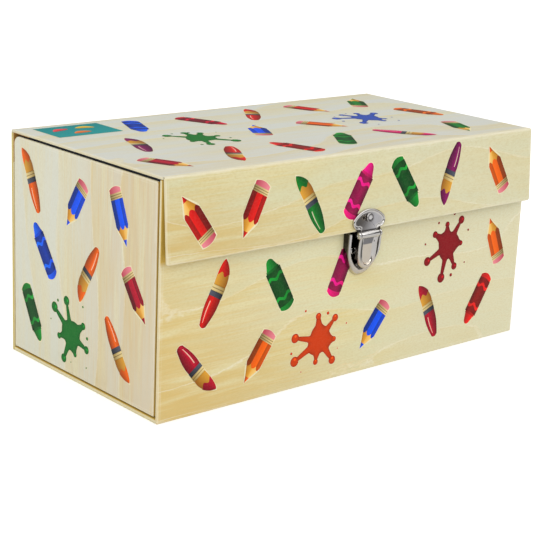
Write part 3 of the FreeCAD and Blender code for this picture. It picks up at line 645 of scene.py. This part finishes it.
def tongue():
    """A shield with a raised bead round a flat middle, on a barrel at the hinge.

    The bead is slim at the hinge and broad below. Near the hinge the sheet rises to the barrel, by
    1.5 mm * lift, where lift = ((z + 7.5 mm) / 7.5 mm) squared, and the whole leans inwards. Its tones
    are painted light: a warm reflection on the lower bead and sheet, a grey reflection on the sheet near
    the hinge, a dark reflected streak down the left of the bead, and painted shade on the back.
    """
    outline = shield(half=TONGUE_HALF, side_radius=30.0, foot_radius=7.0, foot=-21.7, top=0.0)
    edge = [[0, 0], [-0.02, 0.6], [0.1, 1.35]]
    slim = softened(edge + [[0.9, 1.95], [1.7, 1.75], [2.2, 1.15], [2.5, 0.84], [3.0, 0.8]])
    broad = softened(edge + [[0.9, 2.1], [2.3, 2.1], [3.0, 1.5], [3.3, 0.9], [3.8, 0.8]])
    below = np.clip((-2.5 - outline[:, 1]) / 3, 0, 1)[:, None, None]
    ring = carried(outline, inward(outline), slim + below * (broad - slim))
    sheet, back = chords(ring[:, -1]), chords(ring[:, 0])
    for grid in (ring, sheet):
        lift = np.clip((grid[..., 2] + 7.5) / 7.5, 0, 1) ** 2
        grid[..., 1] += np.minimum(grid[..., 1], 1) * 1.5 * lift
    for grid in (ring, sheet, back):
        grid[..., 1] += math.tan(TONGUE_LEAN) * grid[..., 2] - 1.2
    # Painted reflections: warm on the lower bead, and a dark streak down the left of the bead.
    low = np.clip((-13 - ring[..., 2:]) / 5, 0, 1)
    step = np.linspace(0, 1, len(slim))[None, :, None]
    reflected_streak = np.clip(1.6 - abs(step - 0.52) / 0.07, 0, 1) * (outline[:, :1, None] < 0) * (1 - low) * 0.9
    ring_tone = toned(toned(BRIGHT, WARM_REFLECTION, low), DARK, reflected_streak)
    # Painted reflection: grey on the sheet near the hinge, warm below it.
    sheet_tone = np.where(sheet[..., 2:] > -6.4, np.array(HINGE_REFLECTION_GREY), np.array(WARM_REFLECTION))
    end = TONGUE_HALF
    barrel = turned(softened([[-end, 0], [-end, 1.7], [-7.3, TUBE], [7.3, TUBE], [end, 1.7], [end, 0]]))
    return [(ring, ring_tone), (sheet, sheet_tone), (back, DARK), (barrel, BRIGHT)]


pressed_piece("clasp_tongue_bright", "clasp_tongue", tongue(), on_hinge, plate_metal)

# %% Cup on the front board
DOME_X, DOME_Z = 6.6, -10.84
CATCH_HALF, CATCH_LOW, CATCH_HIGH = 3.5, -16.84, -5.84


def cup():
    """A wall round a well. It is steep at the sides, slopes at the foot and grows lower downwards.

    The inside, the outer left side and the sheet's ends are painted dark as shade, but for one painted glint
    low on the wall inside, and the foot has a painted warm reflection.
    """
    outline = shield(half=13.8, side_radius=22.0, foot_radius=9.0, foot=-27.34, top=0.76)
    way = inward(outline)
    side = softened([
        [0, 0], [0.05, 1.8], [0.25, 3.9], [0.8, 5.1], [1.35, 5.4], [1.9, 5.1], [2.4, 4.2], [2.6, 3.0],
        [2.7, 1.7], [3.0, 1.05], [3.7, 1.0]])
    foot = softened([
        [0, 0], [0.3, 1.2], [1.0, 2.5], [2.2, 3.9], [3.5, 4.9], [4.3, 5.0], [4.9, 4.5], [5.2, 3.4],
        [5.4, 2.2], [5.9, 1.2], [6.8, 1.0]])
    share = np.clip(way[:, 1], 0, 1)[:, None, None] ** 1.5
    profile = side * (1 - share) + foot * share
    profile[..., 1] *= 1.06 + 0.36 * np.clip(outline[:, 1:], -27, 0) / 27
    ring = carried(outline, way, profile)
    step = np.linspace(0, 1, len(side))[None, :, None]
    # Painted shade in the well and on the outer left wall, lifted by a painted glint; the foot has a painted warm
    # reflection.
    well = np.clip((step - 0.5) * 7, 0, 1) * 0.86 * (1 - 0.35 * share)
    wall = np.clip((0.3 - step) * 12, 0, 1) * np.clip(1 - 1.7 * share, 0, 1)
    wall = wall * (outline[:, :1] < 0)[:, None] * 0.96
    glint = np.exp(-(((step - 0.66) / 0.05) ** 2)) * np.clip(3 - abs(outline[:, 1:, None] + 13) / 2.2, 0, 1)
    cup_tone = toned(toned(BRIGHT, WARM_REFLECTION, share), DARK, np.maximum(well, wall) * (1 - 0.9 * glint))
    floor = chords(ring[:, -1])
    ends_down = [(brought_down(row), DARK) for row in (floor[0], ring[0], ring[-1])]
    return [(ring, cup_tone), (floor, WELL_SHADE)] + ends_down


def catch():
    """The sprung stud that holds the tongue: a rounded block that narrows at its top."""
    low, high = (-CATCH_HALF, CATCH_LOW), (CATCH_HALF, CATCH_HIGH)
    section = softened([low, (high[0], low[1]), high, (low[0], high[1]), low], 1)
    return stacked(section, ((0.7, 1), (3.7, 1), (4.1, 0.96), (4.3, 0.88), (4.3, 0)), 1)


dome = turned(softened([[1.0, 2.2], [1.35, 2.15], [1.72, 1.5], [1.8, 0.8], [1.8, 0]]), 1)
domes = [(dome + [x, 0, DOME_Z], BRIGHT) for x in (-DOME_X, DOME_X)]
stud = [(catch(), BRIGHT)]
pressed_piece("clasp_cup_bright", "clasp_cup", cup(), on_board, plate_metal)
pressed_piece("clasp_cup_domes", "clasp_cup_rivets", domes, on_board, rivet_metal)
pressed_piece("clasp_catch_bright", "clasp_catch", stud, on_board, plate_metal)

# %% [markdown]
# ## Drawing with facets
# The print is small figures of pencils, brushes, crayons and paint. An image texture is the usual way to
# show them, but it blurs from close by. So each figure is a stack of flat coloured facets, as in a paper
# collage. A facet is a surface of two parameters, u along the figure and v across it.

# %% One facet, and how facets become a mesh
STEPS = 14
unit = np.linspace(0, 1, STEPS)
u, v = (grid[..., None] for grid in np.meshgrid(unit, unit, indexing="ij"))


def facet(start, end, low, high, first, last, level):
    """A patch of colour at (start + u (end - start), low + v (high - low)), from first to last over v.

    start and end may bend with v, and low and high with u. Lengths are in millimetres.
    """
    along = start + u * (end - start)
    across = low + v * (high - low)
    flat = np.concatenate([along + 0 * across, across + 0 * along], axis=2)
    return flat, toned(ink(*first), ink(*last), v + 0 * u), level


def shaded(colour, factor):
    """The colour made darker or, above 1, lighter."""
    return tuple(np.clip(np.array(colour) * factor, 0, 255))


def tints(colour, low, high):
    """Two shades of the colour, for the two sides of a facet."""
    return shaded(colour, low), shaded(colour, high)


def ends(depth, low=-1.0, high=1.0):
    """A rounded end: depth * place squared. The facet lies from low to high on a figure of -1 to 1."""
    return depth * (low + v * (high - low)) ** 2


print("facet of", STEPS * STEPS, "points")

# %% [markdown]
# ## The four figures
# A pencil has an eraser, a metal band, three painted sides and a cone of bare wood. A brush has a handle
# that swells, a metal band and a flame of hair with paint on its tip. A crayon is a paper sleeve round a
# stick with a blunt nose. A splat is a blot with arms that end in drops. Under each lies a slightly larger
# pale shape, as printers leave round a figure.

# %% Pencil
HALO, RIM = (236, 227, 188), 0.28
RUBBER, BRASS = ((186, 60, 80), (240, 140, 150)), ((140, 118, 70), (240, 214, 150))
GROOVE, BLACK_BAND = ((96, 78, 42), (170, 144, 92)), ((24, 26, 36), (86, 90, 104))
SHADED_WOOD, LIT_WOOD = ((186, 122, 26), (232, 164, 58)), ((238, 178, 76), (250, 208, 124))
BRUSH_BRASS, BRUSH_HAIR = ((150, 122, 60), (240, 216, 150)), ((146, 88, 20), (226, 164, 56))


def pencil(colour):
    """A pencil along +s, 34 mm long and 12 mm wide, with its point at the far end."""
    wide = 6.0
    cone = wide * (1 - u) + 1.6 * u
    sides = np.array([-1, -0.36, 0.44, 1]) * wide
    parts = [
        facet(-RIM + ends(1.4), 24.4, -wide - RIM, wide + RIM, HALO, HALO, 1),
        facet(24.2, 35, -(wide + RIM) * (1 - u), (wide + RIM) * (1 - u), HALO, HALO, 1),
        facet(ends(1.5), 4.0, -wide * 0.92, wide * 0.92, *RUBBER, 2),
        facet(3.8, 7.4, -wide * 0.97, wide * 0.97, *BRASS, 3),
        facet(4.7, 5.2, -wide * 0.97, wide * 0.97, *GROOVE, 4),
        facet(6.1, 6.6, -wide * 0.97, wide * 0.97, *GROOVE, 4),
        facet(22.2, 30.6, -cone, cone * 0.1, *SHADED_WOOD, 2),
        facet(22.2, 30.6, cone * 0.1, cone, *LIT_WOOD, 2),
        facet(30.4, 34.4, -1.65 * (1 - u), 1.65 * (1 - u), *tints(colour, 0.7, 1.15), 3)]
    for k, tone in enumerate((0.55, 1.0, 0.8)):
        painted = tints(colour, tone, tone * 1.16)
        parts.append(facet(7.3, 24.6 - ends(2.2), sides[k], sides[k + 1], *painted, 3))
    return parts


print("pencil:", len(pencil(HALO)), "facets")


# %% Brush
def brush(colour):
    """A brush along +s, 41 mm long: its handle swells as a sine, and its hair is a flame that leans."""
    handle = 1.9 + 3.0 * np.sin(np.pi * (0.06 + 0.56 * u))
    flame = 4.5 * (1 - u) ** 0.75 * (1 + 1.15 * u)
    lean = 3.4 * u**2
    dipped = 0.45 + 0.55 * u
    tip, waved = 3.4 * dipped**2, 32.4 + 1.2 * np.cos(3 * np.pi * v)
    paint = 4.4 * (1 - dipped) ** 0.75 * (1 + 1.15 * dipped)
    parts = [
        facet(-RIM + ends(1.0), 22, -handle - RIM, handle + RIM, HALO, HALO, 1),
        facet(21, 42, lean - flame - RIM, lean + flame + RIM, HALO, HALO, 1),
        facet(ends(1.2, -1, 0.1), 19.4, -handle, handle * 0.1, *tints(colour, 0.6, 1), 2),
        facet(ends(1.2, 0.1, 1), 19.4, handle * 0.1, handle, *tints(colour, 1.16, 0.86), 2),
        facet(3, 16, handle * 0.3, handle * 0.48, shaded(colour, 1.3), (250, 226, 200), 3),
        facet(18.8, 22.0, -4.9, 4.9, *BLACK_BAND, 3),
        facet(21.8, 25.6, -4.8, 4.8, *BRUSH_BRASS, 3),
        facet(23.4, 23.9, -4.8, 4.8, *GROOVE, 4),
        facet(25.4, 41, lean - flame, lean + flame, *BRUSH_HAIR, 3),
        facet(waved, 41.1, tip - paint, tip + paint, *tints(colour, 0.72, 1.16), 4)]
    return parts


print("brush:", len(brush(HALO)), "facets")


# %% Crayon
def crayon(colour):
    """A crayon along +s, 37 mm long and 12 mm wide, in a sleeve with two waved bands."""
    wide = 5.8
    nose = 4.6 * (1 - u) + 2.5 * u
    wave = 1.1 * np.sin(3 * np.pi * v)
    parts = [
        facet(-RIM + ends(2.0), 30, -wide - RIM, wide + RIM, HALO, HALO, 1),
        facet(29.6, 37.6 - ends(1.6), -nose - RIM, nose + RIM, HALO, HALO, 1),
        facet(ends(2.4), 5.0, -wide * 0.96, wide * 0.96, *tints(colour, 0.85, 1.25), 2),
        facet(3.6 + ends(1, -1, -0.2), 28.4 + ends(0.8, -1, -0.2), -wide, -wide * 0.2,
              *tints(colour, 0.42, 0.72), 3),
        facet(3.6 + ends(1, -0.2, 1), 28.4 + ends(0.8, -0.2, 1), -wide * 0.2, wide,
              *tints(colour, 0.72, 0.56), 3),
        facet(8.0 + wave, 10.2 + wave, -wide, wide, *tints(colour, 1.05, 1.5), 4),
        facet(22.6 + wave, 24.8 + wave, -wide, wide, *tints(colour, 1.05, 1.5), 4),
        facet(28.4, 30.2, -5.0, 5.0, *tints(colour, 0.66, 1.05), 3),
        facet(30.0, 37.0 - ends(1.5), -nose, nose, *tints(colour, 0.78, 1.4), 2)]
    return parts


print("crayon:", len(crayon(HALO)), "facets")

# %% Splat
ARMS = 7


def splat(colour, seed):
    """A burst of paint about 48 mm wide: a lumpy disc with arms, each a bump that ends in a drop.

    Its edge is r(t) = 9.5 + 0.9 sin(3t + seed) + sum of reach * exp(-(angle from t to the arm / width)
    squared), in millimetres. Each drop is a disc, and a few small drops fly off.
    """
    chance = np.random.default_rng(seed)
    arms = (np.arange(ARMS) + chance.uniform(-0.3, 0.3, ARMS)) * 2 * np.pi / ARMS
    reach = chance.permutation(np.linspace(3.0, 14.0, ARMS))
    turn = np.linspace(0, 2 * np.pi, 121)[None, :, None]
    gap = np.angle(np.exp(1j * (turn - arms)))
    edge = 9.5 + 0.9 * np.sin(3 * turn + seed)
    edge = edge + (reach * np.exp(-((gap / (0.2 - 0.006 * reach)) ** 2))).sum(axis=2, keepdims=True)
    out = np.linspace(0, 1, 9)[:, None, None]
    round_way = np.concatenate([np.cos(turn), np.sin(turn)], axis=2)
    pale, dark, plain, light = (
        ink(*tone) for tone in (HALO, shaded(colour, 0.78), colour, shaded(colour, 1.5)))
    parts = [
        (out * (edge + RIM) * round_way, pale, 1),
        (out * edge * round_way, toned(plain, dark, out**6), 2)]
    spots = [(9.4 + 0.9 * r, a, 1.3 + 0.14 * r) for r, a in zip(reach, arms)]
    spots += list(zip(chance.uniform(17, 24, 6), arms[:6] + 0.43, chance.uniform(0.4, 1.2, 6)))
    out, round_way = out[::2], round_way[:, ::4]
    for distance, angle, size in spots:
        centre = distance * np.array([math.cos(angle), math.sin(angle)])
        disc = size * out * round_way
        parts += [
            (centre + disc + RIM * out * round_way, pale, 1),
            (centre + disc, toned(plain, dark, out**6), 3),
            (centre + 0.3 * size * np.array([-1, 1]) + 0.28 * disc, light, 4)]
    return parts


FIGURES = {"pencil": (pencil, 17.0), "brush": (brush, 20.5), "crayon": (crayon, 18.5)}
print("figures:", sorted(FIGURES) + ["splat"])

# %% [markdown]
# ## Laying the figures on a face
# A printed sheet repeats its figures in loose rows. Places drawn wholly at random would overlap, so each
# figure has a cell, every second row of cells is moved by a third of a cell, and each figure is shifted
# and turned a little in its own. A face is an origin and two directions, so the same rows can be laid on
# the front, the flap, the lid or a drawer.

# %% Rows of figures
CRIMSON, ORANGE, GREEN, BLUE = (168, 6, 40), (232, 92, 6), (12, 112, 36), (6, 76, 230)
PLUM, PINK, RED = (122, 10, 84), (214, 8, 104), (200, 20, 16)
BURNT, WINE, SLATE = (208, 60, 4), (138, 4, 18), (52, 82, 176)
INKS = [RED, GREEN, BLUE, ORANGE, CRIMSON, GREEN, PLUM, ORANGE, BLUE, RED, PINK, ORANGE, CRIMSON, BLUE]
KINDS = ["pencil", "crayon", "brush", "pencil", "brush", "crayon", "pencil"]


def rows_of_figures(width, height, columns, rows, seed, splats=None, empty=()):
    """Where each figure goes: one per cell, in millimetres from the face's middle, and its turn in degrees.

    splats gives the cells that hold a splat and its colour, and empty the cells that hold nothing.
    """
    splats, placed = splats or {}, []
    chance = np.random.default_rng(seed)
    for cell in range(columns * rows):
        row, column = divmod(cell, columns)
        stagger = 0.16 if row % 2 else -0.16
        x = ((column + 0.5 + stagger) / columns - 0.5) * width + chance.uniform(-2.5, 2.5)
        y = ((row + 0.5) / rows - 0.5) * height + chance.uniform(-3, 3)
        turn = chance.uniform(18, 38) * (-1 if (cell + row) % 2 else 1)
        turn = turn + (180 if chance.random() < 0.5 else 0)
        kind = "splat" if cell in splats else KINDS[(cell * 3 + row + seed) % len(KINDS)]
        colour = splats.get(cell, INKS[(cell * 5 + seed * 3) % len(INKS)])
        if cell not in empty:
            placed.append((kind, colour, x, y, turn, cell + seed))
    return placed


print("the first figure of a sheet:", rows_of_figures(284, 128, 6, 3, 4)[0])

# %% A printed face as one mesh
LIFT = 0.03 * mm


def lay(patches, origin, right, up):
    """The patches joined on a face, where a point is origin + s right + t up + level * lift * out."""
    out = np.cross(right, up)
    return joined([
        (origin + flat[..., :1] * mm * right + flat[..., 1:] * mm * up + level * LIFT * out, tone)
        for flat, tone, level in patches])


def figure_patches(placed):
    """All facets of the placed figures, turned and moved to their places."""
    patches = []
    for kind, colour, x, y, turn, seed in placed:
        draw, middle = FIGURES.get(kind, (lambda tint: splat(tint, seed), 0.0))
        angle = math.radians(turn + 90)
        along = np.array([math.cos(angle), math.sin(angle)])
        across = np.array([-along[1], along[0]])
        for flat, tone, level in draw(colour):
            moved = np.array([x, y]) + (flat[..., :1] - middle) * along + flat[..., 1:] * across
            patches.append((moved, tone, level))
    return patches


print("each level of ink lies", LIFT / mm, "mm over the one below")


# %% Ink on paper
def ink_finish():
    """The figures' own colours, a little uneven as ink is on paper."""
    finish = Finish("figure_ink", Roughness=0.4, Specular_IOR_Level=0.12)
    x, y, z = finish.places()
    fleck = finish.noise(x / 1.2, y / 1.2, z / 1.2, detail=3.0)
    tone = finish.add("ShaderNodeAttribute", {"attribute_name": "ink"})
    tone = finish.layered(tone, ((fleck * 2 - 0.8).clipped() * 0.03, ink(246, 232, 206)))
    finish.feed_shader(Base_Color=tone, Roughness=0.34 + fleck * 0.12)
    return finish.material


def printed(name, body, points, quads, tones):
    """The print as one piece that rides on the body."""
    piece = mesh_piece(name, points, quads, print_ink, tones)
    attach(piece, body)
    print(name, len(quads), "quads")


print_ink = ink_finish()
x_way, y_way, z_way = np.eye(3)
flap_middle = crease + flap_out * flap_face + tilt_down * flap_drop / 2
wall_z, lid_y = (front_low.z + front_high.z) / 2, (lid_low.y + lid_high.y) / 2
panel_y, panel_z = (panel_low.y + panel_high.y) / 2, (panel_low.z + panel_high.z) / 2
faces = {
    "front_figures": ("case", (0, front_low.y, wall_z), x_way, z_way,
                      rows_of_figures(284, 128, 6, 3, 4, {2: BURNT, 10: WINE}, empty=(9,))),
    "back_figures": ("case", (0, back_high.y, wall_z), -x_way, z_way,
                     rows_of_figures(284, 128, 6, 3, 9, {4: GREEN, 13: SLATE})),
    "flap_figures": ("flap", flap_middle, x_way, -tilt_down, rows_of_figures(282, 40, 7, 1, 3)),
    "lid_figures": ("lid", (0, lid_y, lid_high.z), x_way, y_way,
                    rows_of_figures(284, 140, 6, 3, 6, {7: GREEN, 10: SLATE}, empty=(12,))),
    "left_drawer_figures": ("left_drawer", (panel_low.x, panel_y, panel_z), -y_way, z_way,
                            rows_of_figures(140, 124, 3, 3, 5, {1: GREEN})),
    "right_drawer_figures": ("right_drawer", (-panel_low.x, panel_y, panel_z), y_way, z_way,
                             rows_of_figures(140, 124, 3, 3, 8, {3: BURNT}))}
for name, (body, origin, right, up, placed) in faces.items():
    printed(name, body, *lay(figure_patches(placed), origin, right, up))

# %% [markdown]
# ## A coloured field on the lid
# One corner of the lid carries a teal field with three dabs of paint. It is drawn with the same facets, so
# it needs no new kind of mesh or material.

# %% The field
TEAL = (22, 150, 150)


def dab(x, y, turn, colour):
    """A brush stroke 13 mm long, thick in its middle: half width = 2.8 mm * sin(pi u) to the power 0.6."""
    half = 2.8 * np.sin(np.pi * np.clip(u, 0.002, 0.998)) ** 0.6
    bow = 1.6 * np.sin(np.pi * u)
    flat, tone, level = facet(-6.5, 6.5, bow - half, bow + half, *tints(colour, 0.8, 1.15), 3)
    rotation = np.array([[math.cos(turn), math.sin(turn)], [-math.sin(turn), math.cos(turn)]])
    return flat @ rotation + np.array([x, y]), tone, level


field = [
    facet(-23.5, 23.5, -15.5, 15.5, HALO, HALO, 1), facet(-23, 23, -15, 15, TEAL, shaded(TEAL, 0.9), 2),
    dab(-10, 4, 0.3, (226, 66, 72)), dab(8, 5, -0.2, (240, 186, 44)), dab(-1, -7, 0.1, (238, 116, 48))]
printed("lid_field", "lid", *lay(field, (-116 * mm, 55 * mm, lid_high.z), x_way, y_way))

# %% [markdown]
# ## The paper that bends
# One sheet of wrap runs over the top of the lid and down the flap, and the gap between the two boards is
# its hinge. It is the softest edge of the box and the first to be rubbed pale. A second fold joins the
# lid to the back. A stiff strip would tear away when the lid turns. Both are a profile in the YZ plane
# carried along X.

# %% Folded strips
ENDS_IN = 0.4 * mm


def folded_strip(name, profile, material):
    """A strip of paper: point(u, v) = (x at u, profile at v), where x runs along the case."""
    run = np.linspace(-half_length + ENDS_IN, half_length - ENDS_IN, 61)
    x, k = np.meshgrid(run, np.arange(len(profile)), indexing="ij")
    points = np.stack([x, profile[k, 0], profile[k, 1]], axis=-1).reshape(-1, 3)
    piece = mesh_piece(name, points, grid_faces(len(run), len(profile), 0), material)
    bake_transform(piece)
    width = float(np.linalg.norm(np.diff(profile, axis=0), axis=1).sum())
    print(name, "width", round(width / mm, 2), "mm")


def fold_paper(name):
    """Wrap paper on a fold: cream, with a ridge that is rubbed nearly white."""
    paper = Finish(name, Roughness=0.55)
    x, y, z = paper.places()
    rubbed = paper.noise(x / 14, y / 3, z / 3, detail=4.0)
    fine = paper.noise(x / 2.2, y / 1.1, z / 1.1, detail=3.0)
    colour = paper.layered(
        ink(222, 214, 180), ((rubbed * 2.4 - 0.8).clipped(), RUBBED),
        ((fine * 2 - 0.8).clipped() * 0.25, ink(206, 186, 140)))
    paper.feed_shader(Base_Color=colour, Roughness=0.5 + fine * 0.16)
    paper.bump(fine, 0.05 * mm, 0.7)
    return paper.material


cover, round_over, on_flap_face = 0.05 * mm, 1.1 * mm, 1.9 * mm
top = lid_high.z + cover
face_y = crease[1] - (flap_face + cover) * math.cos(flap_tilt)
front_fold = np.concatenate([
    [[crease[1] + 1.4 * mm, top]],
    arc((face_y + round_over, top - round_over), round_over, 90, 180 + math.degrees(flap_tilt)),
    [[face_y - on_flap_face * math.tan(flap_tilt), top - round_over - on_flap_face]]])
back_y = back_high.y + cover
back_fold = np.concatenate([
    [[back_y, lid_low.z - 6 * mm]],
    arc((back_y - round_over, top - round_over), round_over, 0, 90),
    [[back_y - 3 * mm, top]]])
folds = fold_paper("folded_wrap")
folded_strip("crease_paper", front_fold, folds)
folded_strip("back_fold_paper", back_fold, folds)

# %% [markdown]
# ## Floor and light
# The box stands on a white floor in even light. Stronger lamps could whiten the floor, but they would
# bleach the paper. So the sky is about as strong as shows a colour as it is written, and two large lamps
# add a soft direction. The floor has a little light of its own for camera rays only, so it looks white
# and the shadow stays.

# %% White floor
CAMERA_RAY, GLOSSY_RAY = 0, 3


def white_floor():
    """A plain floor with a soft shadow: matt white, plus a glow that only the camera sees."""
    matt, glow = (0.9, 0.9, 0.9, 1.0), (1.0, 1.0, 1.0, 1.0)
    finish = Finish("floor_white", Roughness=0.9, Base_Color=matt, Emission_Color=glow)
    finish.feed_shader(Emission_Strength=finish.add("ShaderNodeLightPath", want=CAMERA_RAY) * 0.36)
    return finish.material


floor_half, floor_z = 4.0, -0.02 * mm
corners = np.array([[-1, -1, 0], [1, -1, 0], [1, 1, 0], [-1, 1, 0]]) * floor_half + [0, 0, floor_z]
floor = mesh_piece("floor", corners, np.array([[0, 1, 2, 3]]), white_floor())
print("floor", 2 * floor_half, "m wide")

# %% Sky and lamps
ROOM_GREYS = ((0.0, 0.7), (0.5, 0.4), (0.53, 0.05), (0.68, 0.1), (0.8, 1.5))


class Room(Finish):
    """The world's own nodes, added in the same way as a material's."""

    def __init__(self, name):
        world = bpy.data.worlds.new(name)
        bpy.context.scene.world = world
        world.use_nodes = True
        self.tree = world.node_tree
        self.tree.nodes.clear()


def sky(strength):
    """White to the camera, a plain grey for matt surfaces, and a room with a dark wall for mirrors.

    The room's grey is read at z / 2 + 1 / 2, where z is how far up the light comes from.
    """
    room, white = Room("room"), (1, 1, 1, 1)
    height = room.add("ShaderNodeSeparateXYZ", want=2, Vector=room.add("ShaderNodeTexCoord"))
    wall = room.add("ShaderNodeValToRGB", Fac=height * 0.5 + 0.5)
    stops = wall.socket.node.color_ramp.elements
    for k, (place, grey) in enumerate(ROOM_GREYS):
        stop = stops[k] if k < 2 else stops.new(place)
        stop.position, stop.color = place, (grey, grey, grey, 1)
    plain = room.add("ShaderNodeBackground", Color=white, Strength=strength)
    mirrored = room.add("ShaderNodeBackground", Color=wall)
    seen = room.add("ShaderNodeBackground", Color=white)
    to_camera, to_mirror = (room.add("ShaderNodeLightPath", want=k) for k in (CAMERA_RAY, GLOSSY_RAY))
    light = room.add("ShaderNodeMixShader", Fac=to_mirror, Shader=plain, Shader_001=mirrored)
    light = room.add("ShaderNodeMixShader", Fac=to_camera, Shader=light, Shader_001=seen)
    room.feed(room.tree.nodes.new("ShaderNodeOutputWorld").inputs["Surface"], light)


BOX_MIDDLE = Vector((0, 0, 70 * mm))


def lamp(name, place, size, power):
    """A square lamp at that place, aimed at the middle of the box."""
    light = bpy.data.lights.new(name, "AREA")
    light.size = size
    light.energy = power
    aim = (BOX_MIDDLE - Vector(place)).to_track_quat("-Z", "Y")
    added(name, light).matrix_world = Matrix.Translation(place) @ aim.to_matrix().to_4x4()


sky(0.82)
lamp("left_window", (-1.5, -0.9, 1.3), 1.2, 8.5)
lamp("front_window", (0.9, -1.6, 1.1), 1.2, 5.5)
print("sky and two lamps")

# %% [markdown]
# ## The camera
# The camera stands at the corner between the left drawer and the front, a little above the lid. A Track
# To constraint could aim it, but would keep it level. So its three axes follow from two angles and a
# small roll.

# %% Camera
def camera(place, azimuth, elevation, roll, lens):
    """forward = (-sin a cos e, cos a cos e, -sin e), right = (cos a, sin a, 0), up = right x forward.

    Then the roll turns right and up about forward.
    """
    a, e, r = (math.radians(angle) for angle in (azimuth, elevation, roll))
    forward = Vector((-math.sin(a) * math.cos(e), math.cos(a) * math.cos(e), -math.sin(e)))
    right = Vector((math.cos(a), math.sin(a), 0))
    up = right.cross(forward)
    rolled_right = math.cos(r) * right + math.sin(r) * up
    rolled_up = -math.sin(r) * right + math.cos(r) * up
    data = bpy.data.cameras.new("camera")
    data.lens = lens
    data.sensor_width = 36
    data.clip_start = 0.01
    axes = Matrix((rolled_right, rolled_up, -forward)).transposed().to_4x4()
    bpy.context.scene.camera = added("camera", data)
    bpy.context.scene.camera.matrix_world = Matrix.Translation(place) @ axes


camera((-0.6027, -0.6838, 0.30945), -41.2, 16.03, 2.47, 97.2)
bpy.context.scene.view_settings.view_transform = "Standard"
print("camera set")
